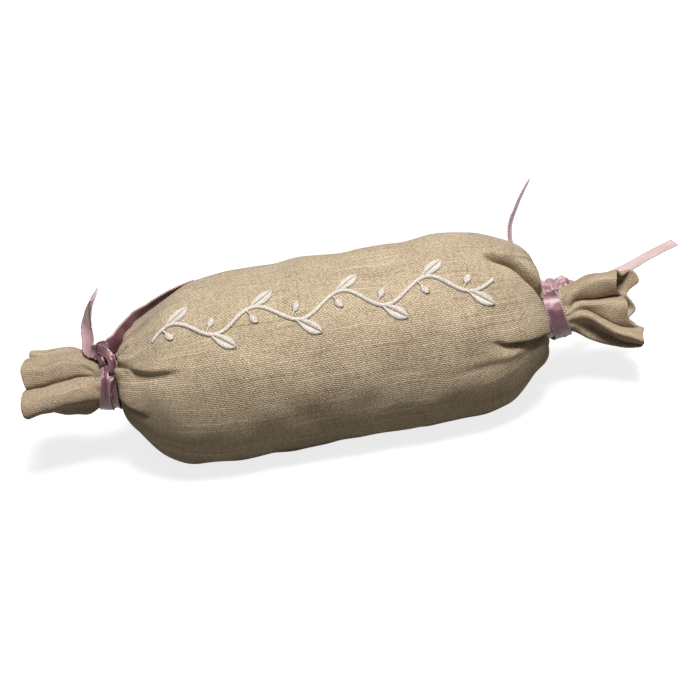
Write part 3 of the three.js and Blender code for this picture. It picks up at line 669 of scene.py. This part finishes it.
# ruffles: rails round the cloth, each five places in view from the tie to the mouth; pleats by the tie as
# a line in view, depth and width; cloth is taken up between the ridges, which are numbers of rails
leftRails = dict(
    upperRidge=(-2.4, 4.6, 8.4, -6.7, 7, 9.2, -14.6, 8.4, 9.6, -22.4, 8, 9.6, -30.8, 8.9, 9),
    upperDip=(-2.5, 3.6, 8.6, -6.1, 5, 8.8, -14.1, 6, 9.6, -22.4, 5.3, 9.6, -30.8, 5.8, 9),
    upperUnder=(-2.8, 2.6, 8.6, -6.1, 3.5, 8.5, -14, 4.2, 9, -22.3, 3.2, 9, -30.2, 2.7, 8.4),
    valley=(-3, 1.9, 8.2, -6.7, 2.8, 7.3, -14.2, 2.9, 7.5, -22.1, 1.9, 7.2, -29.9, 1.7, 6.6),
    lowerTop=(-3.2, 1, 8.8, -7.2, 1.7, 8.6, -14.9, 1.4, 8.7, -22.8, 0.3, 8.7, -31.5, 0.5, 8.2),
    lowerRidge=(-3.5, -1.7, 9.2, -8.2, -1.5, 10.4, -16, -2.2, 11.2, -23.9, -3.1, 11.4, -32.8, -3.4, 11),
    lowerUnder=(-4, -5.2, 8.4, -8.9, -5.4, 9.8, -16.1, -5.2, 10.6, -24.4, -6.1, 10.8, -32.7, -7.6, 10.4),
    lowerEdge=(-4.2, -6.8, 6.8, -9.1, -6.6, 8, -15.3, -6.2, 8.4, -23.7, -7.1, 8.6, -31.5, -8.6, 8.4),
    underFold=(-4.2, -7.3, 5, -9.1, -6.9, 3, -15.4, -6.8, 2, -23.3, -6.5, 1, -30.1, -6.5, 0.5),
    bottomEdge=(-4.3, -8.8, 1, -9.6, -9.9, 0, -15.9, -9.2, -1, -22.1, -7.5, -2, -28.5, -5, -3),
    backBottom=(-3.8, -7.5, -5, -9.3, -8.1, -8, -15.7, -7.2, -9.5, -21.8, -5.7, -10, -28.5, -3.5, -10),
    backLow=(-3.1, -3.5, -8.4, -8.6, -2.8, -10.4, -14.8, -1.5, -11.6, -20.9, -0.5, -12, -28, 0.8, -11),
    backNotch=(-2.5, 0, -9, -8, 0.9, -9, -14.1, 2.4, -7, -20.3, 3.3, -6, -26.9, 4, -5),
    backUpper=(-2, 3.1, -8.2, -7.2, 5.5, -10, -13.3, 7.2, -11.4, -19.5, 7.8, -11.6, -27.1, 8.1, -11),
    backTop=(-1.5, 6.2, -6, -6.9, 9.7, -8, -13.5, 11.3, -9.4, -20.1, 12, -9.4, -26.9, 12.3, -8.5),
    rollTop=(-1.4, 7.4, -3, -7, 11.9, -4, -13.9, 13.8, -5, -20.6, 14.3, -5, -26.4, 14.4, -5),
    rollFront=(-1.6, 7, 2, -7.1, 11.2, 0, -14, 13.2, -1, -20.8, 13.4, -1, -27.1, 13.3, -1),
    rollCrease=(-1.9, 6.6, 5, -7, 10.5, 3, -13.7, 12.4, 0.5, -20.7, 12.4, -0.5, -27, 12.3, -1),
    upperTop=(-2.2, 5.8, 7, -7.1, 8.8, 7, -14.2, 11, 6.2, -21.4, 11.1, 6, -28.9, 11.7, 5),
)
leftRuffle = dict(
    pleats=[([(-2.1, 3.8), (-5.9, 7.5), (-10.3, 10.5)], 1.5, 1.0),
            ([(-3.0, 1.3), (-4.9, 3.4), (-7.1, 5.5), (-8.3, 6.4)], 1.5, 0.9),
            ([(-3.5, -4.4), (-6.9, -0.7)], 0.9, 1.1)],
    ridges=[0, 5, 9, 11, 13, 15], start=0.5, throat=0.93, rails=leftRails,
)
rightRails = dict(
    topRidge=(3.9, 5.5, 7, 10.3, 7.2, 8, 15.9, 8, 8.3, 20.6, 8.2, 8.3, 24.8, 8.1, 8),
    topUnder=(4.4, 2.1, 8.4, 9.8, 4.1, 6.8, 15.3, 4.5, 6.3, 20, 4.5, 6.2, 24.2, 4.3, 6),
    topValley=(5.2, -0.3, 8.2, 9.5, 2.4, 4.5, 14.6, 2.8, 2.5, 20, 2.3, 1.5, 25.7, 1.7, 1),
    midRidge=(5.3, -1, 8.6, 9.9, 0.8, 7.6, 15.4, 0.8, 8, 21.3, -0.8, 8, 27, -2.1, 8),
    midUnder=(5.4, -1.5, 8.7, 10.7, -0.8, 6.5, 16.5, -3, 6.5, 21.3, -6.6, 6.5, 26.2, -6.9, 6),
    midValley=(5.4, -1.9, 8.4, 11, -1.4, 6, 16.9, -5.1, 4.5, 23.1, -9.1, 3.5, 31, -10.9, 2),
    flapTop=(5.4, -2.2, 8.6, 11.3, -1.7, 8, 17.1, -5.7, 8.5, 23.2, -10.4, 9, 30.5, -13.1, 8),
    flapRidge=(5.5, -3.5, 9, 11.8, -3.1, 9.6, 17.2, -7.3, 11, 23.3, -12, 12, 30.6, -15.3, 12),
    flapUnder=(5.9, -5.7, 7.6, 12.1, -6.6, 3.6, 17.4, -10.3, 3.4, 23.3, -14.2, 4.4, 30.2, -16.8, 5.6),
    bottomEdge=(6.6, -7.7, 4.5, 11.8, -11.2, 3.8, 17.9, -14, 4, 23.7, -16.1, 5, 29.5, -17.3, 6),
    backBottom=(5.5, -6, -4, 11.6, -8.3, -4.5, 17.7, -11, -4, 23.1, -12.9, -3, 28.9, -14.1, -2),
    backLobeC=(4.9, -3.4, -7.5, 11.5, -4.5, -9, 17.8, -6, -9, 24, -8.1, -8, 29.6, -11.1, -6),
    backNotchC=(4.6, -0.8, -8.6, 10.6, -1.5, -8, 16.5, -3, -6, 21.6, -4.8, -4.5, 26.6, -6.5, -3),
    backLobeB=(4.2, 1.1, -8.8, 10.3, 0.8, -10, 16.6, -0.3, -9.5, 22.8, -2.1, -7.5, 29.3, -4.2, -4),
    backNotchB=(3.8, 3, -8.6, 9.7, 3.8, -8, 15.8, 3.6, -6, 21.9, 2.9, -4.5, 27.3, 2, -3),
    backTurnB=(3.6, 3.9, -8.2, 9.7, 5, -9, 16.1, 5.2, -8, 22.2, 4.7, -6.5, 28.3, 3.3, -6),
    backLobeA=(3.4, 4.9, -7.5, 9.8, 6.6, -9.5, 17.2, 7.2, -9, 24.7, 6.8, -7, 32.4, 6, -5),
    backTopA=(3.2, 6.1, -5.5, 10.1, 8, -7, 17.1, 8.6, -6, 23.7, 9.1, -5.5, 30.5, 9.7, -5),
    backFold=(3.3, 7, -3, 10.2, 8.9, -3.5, 16.2, 9.6, -3.5, 22, 9.8, -3, 26.9, 8.8, -2.5),
    topEdge=(3.5, 7.6, 1, 10.3, 9.4, 1, 15.5, 10.2, 1, 20.7, 10.6, 1, 25.6, 10.8, 1),
)
rightRuffle = dict(
    pleats=[([(4.2, 3.0), (7.5, 6.2), (10.5, 7.4)], 0.9, 0.9),
            ([(6.0, -4.5), (9.5, -4.6), (13, -6.2)], 1.2, 1.2)],
    ridges=[0, 3, 7, 11, 13, 16], start=1.2, throat=0.97, rails=rightRails,
)
ruffleForm = dict(wall=1.1, rows=36, perGap=10, tucked=0.95, weaveCloser=1.22, bendLength=9.0,
                  pleatPoints=40, pleatFade=0.7, pleatFront=3, waveSize=9, waveHeight=0.25, waveRise=3,
                  waveWay=(0.3, 0.7, 0.7))


def makeRuffle(name, side, ruffle, gatherBody, ruffleBody):
    form = ruffleForm
    rails = np.array(list(ruffle["rails"].values()), float).reshape(len(ruffle["rails"]), -1, 3)
    rails[:, 0, 1:] *= ruffle["throat"]
    # each rail starts under the ribbon
    tucked = rails[:, :1] * [0, form["tucked"], form["tucked"]] + [side * ruffle["start"], 0, 0]
    rails = np.concatenate([tucked, rails], axis=1)
    points = smoothRings([smoothLine(rail, form["rows"]) for rail in rails], form["perGap"])
    for line, depth, wide in ruffle["pleats"]:
        line = smoothLine(np.column_stack([line, np.zeros(len(line))]), form["pleatPoints"])[:, :2]
        gaps = np.linalg.norm(points[:, :, None, :2] - line, axis=3)
        share = 1 - form["pleatFade"] * gaps.argmin(2) / (len(line) - 1)
        pressed = depth * share * bump(gaps.min(2), wide)
        points[..., 2] -= np.where(points[..., 2] > form["pleatFront"], pressed, 0)
    points = fromView(side, points)
    grown = ease(np.linspace(0, 1, form["rows"]) * form["waveRise"])[:, None] * form["waveHeight"]
    waves = unevenness(points, form["waveSize"], 21 + side) * grown
    points = points + waves[..., None] * np.array(form["waveWay"])
    across = gatheredAcross(points, [rail * form["perGap"] for rail in ruffle["ridges"]])
    along = lengthsAlong(points)
    # the ruffle wears the darker linen copy, painted shade
    piece = tubePiece(name, points, np.stack([along, across * form["weaveCloser"]], -1), shadedRuffleLinen)
    finishWith(piece, "SOLIDIFY", thickness=form["wall"] * mm, offset=0.0, use_even_offset=False)
    finishWith(piece, "SUBSURF", levels=1, render_levels=1)
    for face in piece.data.polygons:
        face.use_smooth = True
    inner = fromNeck(side, bag["tieLength"] / 2)
    outer = fromNeck(side, bag["tieLength"] / 2 + form["bendLength"])
    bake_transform(piece)
    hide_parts(ruffleBody, gatherBody)


makeRuffle("leftRuffle", -1, leftRuffle, "left_gather", "left_ruffle")
makeRuffle("rightRuffle", 1, rightRuffle, "right_gather", "right_ruffle")
print("ruffles made")


# ribbon; a pleat's half width is a share of the ribbon's, and it is deepest at pleatAt, in radians
ribbon = dict(width=6.0, thickness=0.45, columns=17, turnSteps=150, stripSteps=60, wander=0.25,
              crumpleSize=3.2, pleatHalf=0.3, pleatAt=1.2)


# a ribbon along a line: cupped across its width, with its own thickness
def ribbonStrip(name, line, across, width, form, pleat, seed, look, closed=False):
    count = len(line)
    if closed:
        along = unit(np.roll(line, -1, 0) - np.roll(line, 1, 0))
    else:
        along = unit(np.gradient(line, axis=0))
    through = unit(np.cross(along, across))
    side = unit(np.cross(through, along))
    q = np.linspace(-1, 1, ribbon["columns"])
    half = np.broadcast_to(np.asarray(width, float) / 2, count)[:, None]
    pleats = np.broadcast_to(np.asarray(pleat, float), count)[:, None]
    flat = line[:, None] + side[:, None] * (half * q)[..., None]
    rise = form["cup"] * (1 - q ** 2) - pleats * np.clip(1 - np.abs(q) / ribbon["pleatHalf"], 0, 1)
    rise = rise + form["crumple"] * unevenness(flat, ribbon["crumpleSize"], seed)
    thick = ribbon["thickness"] / 2
    tops, unders = (flat + through[:, None] * (rise + up)[..., None] for up in (thick, -thick))
    ring = np.concatenate([tops, unders[:, ::-1]], axis=1)
    spread = np.concatenate([q, q[::-1], q[:1]]) * satinLook["half"]
    lengths = np.stack(np.meshgrid(walk(line, closed=closed), spread, indexing="ij"), -1)
    if closed:
        ring = np.concatenate([ring, ring[:1]])
    piece = tubePiece(name, ring, lengths, look, flatEnds=not closed)
    if closed:
        finishWith(piece, "WELD", merge_threshold=0.00001)
    return piece


def joinPieces(name, pieces):
    bpy.ops.object.select_all(action="DESELECT")
    for piece in pieces:
        piece.select_set(True)
    bpy.context.view_layer.objects.active = pieces[0]
    bpy.ops.object.join()
    pieces[0].name = pieces[0].data.name = name
    return pieces[0]


# one turn of ribbon round a neck, leaning by slant and wandering a little
def ribbonTurn(name, side, turn, seed):
    angle = np.linspace(0, 2 * np.pi, ribbon["turnSteps"], endpoint=False)
    slanted = np.cos(angle - np.radians(turn["slantAt"]))
    out = turn["out"] + turn["slant"] * slanted + ribbon["wander"] * np.sin(3 * angle + seed)
    ripple = np.sin(5 * angle + seed * 2) + 0.7 * np.sin(9 * angle + seed)
    oval = np.cos(2 * (angle - viewLift))
    radius = turn["radius"] + turn["ripple"] * ripple + turn["oval"] * oval
    # pulled straight on the upper front, under the knot
    turned = np.cos(angle - np.radians(turn["straightAt"]))
    radius = np.minimum(radius, turn["radius"] * turn["straight"] / np.maximum(turned, 0.3))
    for _ in range(turn["soften"]):
        radius = (np.roll(radius, 1) + radius * 2 + np.roll(radius, -1)) / 4
    line = fromNeck(side, out, -radius * np.cos(angle), radius * np.sin(angle))
    axis = fromNeck(side, 1.0) - fromNeck(side, 0.0)
    width = turn["width"] + turn["spread"] * np.cos(angle - np.radians(turn["spreadAt"]))
    pleat = turn["pleat"] * ease((np.cos(angle - ribbon["pleatAt"]) + 0.3) / 0.9)
    under = np.clip(-np.sin(angle - viewLift), 0, 1)
    lean = np.radians(turn["lean"] + turn["leanUnder"] * under)[:, None]
    across = axis * side * np.cos(lean) - unit(line - fromNeck(side, out)) * np.sin(lean)
    return ribbonStrip(name, line, across, width, turn, pleat, seed, satin, closed=True)


# ties: what their turns share and what each has of its own; a knot's strips as places in view with the
# width and the turn of the face to the viewer, in degrees
leftTie = dict(
    shared=dict(slantAt=80, spreadAt=80, oval=0.0, straightAt=50, lean=7, leanUnder=-16, soften=4),
    turns=[
        dict(out=1.6, slant=-0.6, radius=10.4, width=3.9, spread=-1.5, cup=0.15, crumple=0.1, pleat=0.6,
             ripple=0.06, straight=0.93),
        dict(out=-1.7, slant=0.7, radius=10.0, width=2.4, spread=-0.3, cup=0.2, crumple=0.15, pleat=0.0,
             ripple=0.15, straight=0.94),
    ],
    strips=[
        [(-4.6, 10.2, 6.6, 2.6, 60), (-4, 11.2, 7.4, 3, 70), (-2.1, 11.7, 8.2, 3.2, 75),
         (-0.4, 10.6, 9.2, 3.2, 80), (1, 9.1, 10.2, 3, 80), (1.9, 7.2, 11, 2.9, 80), (2, 5, 11.3, 2.8, 80),
         (1.4, 3, 10.4, 2.5, 80), (1.2, 1.8, 8.8, 2.4, 80)],
        [(-3.4, 9, 6, 3.2, 60), (-2.4, 11.8, 5.6, 3.4, 60), (-0.9, 12.6, 5.4, 3.6, 60),
         (0.8, 12.4, 5.6, 3.4, 60), (2, 11.2, 6.2, 3, 60), (2.6, 9.4, 6.8, 2.8, 60)],
        [(-1.5, 4.6, 7.9, 2, 80), (-1.5, 5.8, 9, 2, 80), (-1.6, 7, 9.4, 2, 80), (-1.7, 8.2, 9, 2.2, 80),
         (-1.9, 9.4, 8, 2.6, 70), (-2.6, 10.4, 6.8, 2.8, 60)],
        [(-4.4, 11.6, 6.4, 3.6, 60), (-3, 9.6, 7.2, 3.4, 75), (-1.8, 8.8, 7.6, 3, 75),
         (-0.6, 8.6, 7.4, 2.6, 75)],
        [(1.2, 8.6, 6.6, 2.8, 60), (2.8, 9.2, 6.2, 3.4, 60), (4.3, 10.8, 5.4, 3.6, 60),
         (5.6, 13, 4.4, 2.8, 50)],
    ],
    cup=0.4, crumple=0.14, pleat=0.0, look=satin,
)
rightTie = dict(
    shared=dict(slantAt=120, spread=0.0, spreadAt=0, oval=1.1, straight=1.046, straightAt=45, pleat=0.0,
                lean=-9, leanUnder=27, soften=40),
    turns=[
        dict(out=-0.7, slant=-4.0, radius=9.8, width=6.2, cup=0.05, crumple=0.03, ripple=0.03),
        dict(out=-1.2, slant=-2.2, radius=9.3, width=6.0, cup=0.1, crumple=0.1, ripple=0.1),
    ],
    strips=[
        [(-2.2, 5.6, 4, 4.8, 70), (-1.6, 8, 0.5, 5.2, 55), (-0.6, 9.6, -3, 5, 45),
         (0.8, 10.2, -6.5, 4.6, 45), (2.2, 9.4, -9, 4.2, 45)],
        [(-0.6, 7.4, -1, 4.2, 70), (0.6, 9.2, -2.2, 4, 60), (1.8, 8.8, -2.8, 4.2, 75),
         (3.2, 9.8, -3.4, 4.2, 60), (5, 9.6, -4.4, 4.2, 65), (6.8, 9.2, -5.4, 4, 70),
         (8.4, 9.2, -6.6, 3.6, 60), (9.6, 8.2, -8.2, 3.2, 60)],
        [(2.2, 5.6, 1.4, 2.4, 80), (2.6, 7.4, 0.6, 2.6, 80), (3.3, 8.9, -0.4, 2.6, 75),
         (4.6, 9.2, -1.6, 2.6, 75), (5.4, 8.2, -2.4, 2.4, 80), (5.2, 6.6, -2.6, 2.4, 80)],
        [(-2.8, 6.6, 8, 3, 75), (-1.6, 8.6, 6.6, 3.4, 65), (-0.2, 8.2, 6.9, 3.4, 80),
         (1, 9.2, 5.6, 3.4, 65), (2.4, 7.8, 6, 3, 80)],
    ],
    # the right knot wears the lighter satin copy, painted light
    cup=0.7, crumple=0.5, pleat=0.3, look=litKnotSatin,
)


# directions across a line at which a strip's face turns to the viewer: edge on at 0 degrees, flat on at 90
def turnedAcross(line, turn):
    along = unit(np.gradient(line, axis=0))
    front = np.array([0, -math.cos(viewLift), math.sin(viewLift)])
    edgeOn = unit(front - (along @ front)[:, None] * along)
    turn = np.radians(turn)[:, None]
    return edgeOn * np.cos(turn) + np.cross(along, edgeOn) * np.sin(turn)


def knotStrip(name, side, tie, steps, seed):
    steps = np.array(steps, float)
    line = smoothLine(np.column_stack([fromView(side, steps[:, :3]), steps[:, 3:]]), ribbon["stripSteps"])
    line, width, turn = line[:, :3], line[:, 3], line[:, 4]
    # the hollow side of the cup faces away from the viewer
    return ribbonStrip(name, line, -turnedAcross(line, turn), width, tie, tie["pleat"], seed, tie["look"])


def makeTie(word, side, tie):
    turns = [ribbonTurn(word + "Turn" + str(k), side, {**tie["shared"], **turn}, 3 + k + side)
             for k, turn in enumerate(tie["turns"])]
    band = joinPieces(word + "RibbonTurns", turns)
    standsFor(band, "bag", word + "_ribbon_turns")
    strips = [knotStrip(word + "Strip" + str(k), side, tie, strip, 11 + 2 * k + side)
              for k, strip in enumerate(tie["strips"])]
    knot = joinPieces(word + "RibbonKnot", strips)
    standsFor(knot, "bag", word + "_ribbon_knot")


makeTie("left", -1, leftTie)
makeTie("right", 1, rightTie)
print("ties made")


# free tails: the route of each, and how far its face turns to the viewer, in degrees, along it
tails = dict(
    # the upward tails wear the lighter satin copy, painted light
    leftTailUp=dict(
        body="left_tail_up", turn=(50, 50, 40, 25, 12, 4), cup=0.7, length=39.4, look=litTailSatin,
        route=[(-82.18, -2.41, 46.43), (-84.31, -2.48, 46.99), (-84.6, 2.5, 49.4), (-84.6, 6, 51.3),
               (-83.2, 5, 55.9), (-80.5, -1.6, 64.7), (-77.8, -9, 72.5)]),
    leftTailBack=dict(
        body="left_tail_back", turn=(-60, -46, -30, -24, -24, -22), cup=0.4, length=53.9, look=satin,
        route=[(-77.39, -2.7, 47.62), (-74.7, 0.1, 47.7), (-72.0, 6, 47.8), (-69.6, 12.2, 47.3),
               (-67.4, 17.7, 46.7), (-64.2, 22.2, 46.2), (-59.48, 24.73, 47.4), (-53, 26.77, 48.95),
               (-45, 27.51, 50.73)]),
    rightTailUp=dict(
        body="right_tail_up", turn=(-15, -18, -16, -12, -4), cup=0.3, length=42.8, look=litTailSatin,
        route=[(80.4, 14.4, 31.6), (78, 17.6, 33.3), (74, 21, 37.8), (70.8, 25.5, 43.6), (71, 28, 51),
               (74.6, 30, 58.2), (80.2, 32, 66.7)]),
    # the outward tail wears the palest satin copy, painted light and highlight
    rightTailOut=dict(
        body="right_tail_out", turn=(15, 25, 35, 25, 25), cup=0.4, length=54.8, look=brightLitTailSatin,
        route=[(84.4, 13.9, 33.87), (86.55, 14.26, 33.6), (90.5, 17.5, 28.4), (99.5, 23, 25.4),
               (110.5, 28, 25.6), (121.3, 31.5, 28), (131.2, 34, 30)]),
)
tailForm = dict(steps=72, pathSteps=24, crumple=0.03)


def makeTail(name, tail, seed):
    line = smoothLine(tail["route"], tailForm["steps"])
    shares = np.linspace(0, 1, len(tail["turn"]))
    across = turnedAcross(line, np.interp(np.linspace(0, 1, len(line)), shares, tail["turn"]))
    piece = ribbonStrip(name, line, across, ribbon["width"], {**tailForm, **tail}, 0.0, seed, tail["look"])
    standsFor(piece, tail["body"], tail["body"])
    path = smoothLine(tail["route"], tailForm["pathSteps"]) * mm
    tail["length"] * mm


for number, (name, tail) in enumerate(tails.items()):
    makeTail(name, tail, 31 + number)
print("tails made")


# the vine, in white floss: each stitch is a short rounded thread laid across its shape
vine = dict(angle=58, start=-61, end=59, waves=4, swing=4.2, stemWidth=1.9, stemSlant=0.55, leafLength=10.5,
            leafWidth=4.8, leafLean=38, leafFrom=0.6, leafSlant=0.55, leafBack=1 / 16, budLength=6.6,
            budWidth=3.0, budLean=62, budFrom=0.5, budSlant=0.2, budStalk=0.4, budTip=0.25, budBack=1 / 9,
            pitch=0.36, threadRadius=0.23, threadEnds=0.55, threadSteps=7, threadSides=5, rise=0.55,
            above=0.12, patternLength=3, patternRound=1.4, patternShift=0.37)


def stemHeight(x):
    share = (x - vine["start"]) / (vine["end"] - vine["start"])
    return vine["swing"] * np.sin(share * vine["waves"] * 2 * np.pi)


def vineStitches():
    stitches = []
    x = vine["start"]
    while x < vine["end"]:
        slope = (stemHeight(x + 0.1) - stemHeight(x - 0.1)) / 0.2
        way = np.array([1, slope]) / math.hypot(1, slope)
        side = np.array([-way[1], way[0]]) + way * vine["stemSlant"]
        half = side * vine["stemWidth"] / 2 / np.linalg.norm(side)
        here = np.array([x, stemHeight(x)])
        stitches.append((here - half, here + half))
        x += vine["pitch"] * way[0]
    wave = (vine["end"] - vine["start"]) / vine["waves"]
    for i in range(vine["waves"] * 2):
        side = 1 if i % 2 == 0 else -1
        crest = vine["start"] + (i + 0.5) * wave / 2
        for kind, lean, stitch in (("leaf", side * vine["leafLean"], leafStitch),
                                   ("bud", -side * vine["budLean"], budStitch)):
            stitches += sprigStitches(kind, crest - wave * vine[kind + "Back"], lean, stitch)
    return stitches


# stitches along a leaf or a bud, from the stem out
def sprigStitches(kind, x, lean, stitch):
    way = np.array([math.cos(math.radians(lean)), math.sin(math.radians(lean))])
    over = np.array([-way[1], way[0]])
    start, length = np.array([x, stemHeight(x)]), vine[kind + "Length"]
    made = []
    for at in np.arange(vine[kind + "From"], length, vine["pitch"]):
        made += stitch(start + way * at, at / length, way, over)
    return made


def leafStitch(vein, share, way, over):  # two slanted halves meet at the vein
    half = vine["leafWidth"] / 2 * math.sin(math.pi * share) ** 0.8
    return [(vein, vein + turn * over * half + way * half * vine["leafSlant"]) for turn in (1, -1)]


def budStitch(middle, share, way, over):
    stalk = half = vine["budStalk"]
    if share >= 0.45:
        half = stalk + (vine["budWidth"] / 2 - stalk) * math.sin(math.pi * (share - 0.4) / 0.62)
    reach = way * vine["budSlant"] + over * max(half, vine["budTip"])
    return [(middle - reach, middle + reach)]


def makeVine():
    ends = np.array(vineStitches())  # stitch, end, (length, height)
    count, sides = len(ends), vine["threadSides"]
    steps = np.linspace(0, 1, vine["threadSteps"])
    swell = np.sin(np.pi * steps)
    flat = ends[:, :1] + (ends[:, 1:] - ends[:, :1]) * steps[None, :, None]
    angles = math.radians(vine["angle"]) + flat[..., 1] * 2 / bag["width"]
    low = bagSkin(flat[..., 0], angles)
    normal = unit(bagSkin(flat[..., 0], angles, 1.0) - low)
    line = low + normal * (swell ** 0.6 * vine["rise"] + vine["above"])[None, :, None]
    over = unit(np.cross(normal, unit(np.gradient(line, axis=1))))
    turns = np.linspace(0, 2 * np.pi, sides, endpoint=False)[:, None]
    radius = vine["threadRadius"] * mix(vine["threadEnds"], 1, swell ** 0.4)
    ring = over[:, :, None] * np.cos(turns) + normal[:, :, None] * np.sin(turns)
    tube = line[:, :, None] + radius[None, :, None, None] * ring
    quads, i, j = tubeFaces(len(steps), sides)
    first = np.arange(count) * len(steps) * sides
    faces = (quads + first[:, None, None]).reshape(-1, 4).tolist()
    caps = np.stack([np.arange(sides)[::-1], np.arange(sides) + (len(steps) - 1) * sides])
    caps = (caps + first[:, None, None]).reshape(-1, sides).tolist()
    lengths = np.stack([steps[i] * vine["patternLength"], j / sides * vine["patternRound"]], -1)
    lengths = lengths.reshape(-1, 2) + (np.arange(count) * vine["patternShift"])[:, None, None]
    uvs = np.vstack([lengths.reshape(-1, 2), np.zeros((len(caps) * sides, 2))])
    piece = addPiece("vineStitches", tube.reshape(-1, 3), faces + caps, uvs, floss)
    standsFor(piece, "bag", "embroidered_vine")
    print("vine stitches", count)


makeVine()


# floor, light and background
studio = dict(key=12.5, keySize=0.32, keyPlace=(0.11, -0.26, 0.92), keyAim=(0, 0, 0.03), fill=0.095,
              floorSize=8, floorDrop=0.0002, floorGlow=0.8, floorLight=(0.4, 0.4, 0.4, 1),
              floorBounce=(0.19, 0.18, 0.165, 1))


def seenRays(wire):  # what the camera, gloss and glass see
    rays = wire.node("ShaderNodeLightPath").socket.node
    camera, gloss, glass = (Wire(wire.tree, rays.outputs[kind])
                            for kind in ("Is Camera Ray", "Is Glossy Ray", "Is Transmission Ray"))
    return camera.most(gloss).most(glass)


def addStudio():
    bpy.ops.object.select_all(action="DESELECT")
    bpy.ops.mesh.primitive_plane_add(size=studio["floorSize"], location=(0, 0, -studio["floorDrop"]))
    floor = bpy.context.object
    floor.name = "floor"
    bpy.ops.object.transform_apply(location=True, rotation=True, scale=True)
    material = bpy.data.materials.new("paleFloor")
    material.use_nodes = True
    tree = material.node_tree
    tree.nodes.clear()
    wire = Wire(tree)
    glow = wire.node("ShaderNodeEmission", None, {"Color": (1, 1, 1, 1), "Strength": studio["floorGlow"]})
    matt = wire.node("ShaderNodeBsdfDiffuse", None, {"Color": studio["floorLight"]})
    both = wire.node("ShaderNodeAddShader", None, {0: glow, 1: matt})
    grey = wire.node("ShaderNodeBsdfDiffuse", None, {"Color": studio["floorBounce"]})
    mixed = wire.node("ShaderNodeMixShader", None, {0: seenRays(wire), 1: grey, 2: both})
    mixed.into(tree.nodes.new("ShaderNodeOutputMaterial"), "Surface")
    floor.data.materials.append(material)

    lamp = bpy.data.lights.new("keyLamp", "AREA")
    lamp.energy = studio["key"]
    lamp.shape = "SQUARE"
    lamp.size = studio["keySize"]
    key = addObject("keyLamp", lamp)
    key.location = studio["keyPlace"]
    key.rotation_euler = (Vector(studio["keyAim"]) - key.location).to_track_quat("-Z", "Y").to_euler()

    world = bpy.data.worlds.new("paleRoom")
    bpy.context.scene.world = world
    world.use_nodes = True
    background = world.node_tree.nodes["Background"]
    background.inputs["Color"].default_value = (1, 1, 1, 1)
    seen = seenRays(Wire(world.node_tree))
    (seen * (1 - studio["fill"]) + studio["fill"]).into(background, "Strength")
    bpy.context.scene.view_settings.view_transform = "Standard"


addStudio()
print("studio lit")
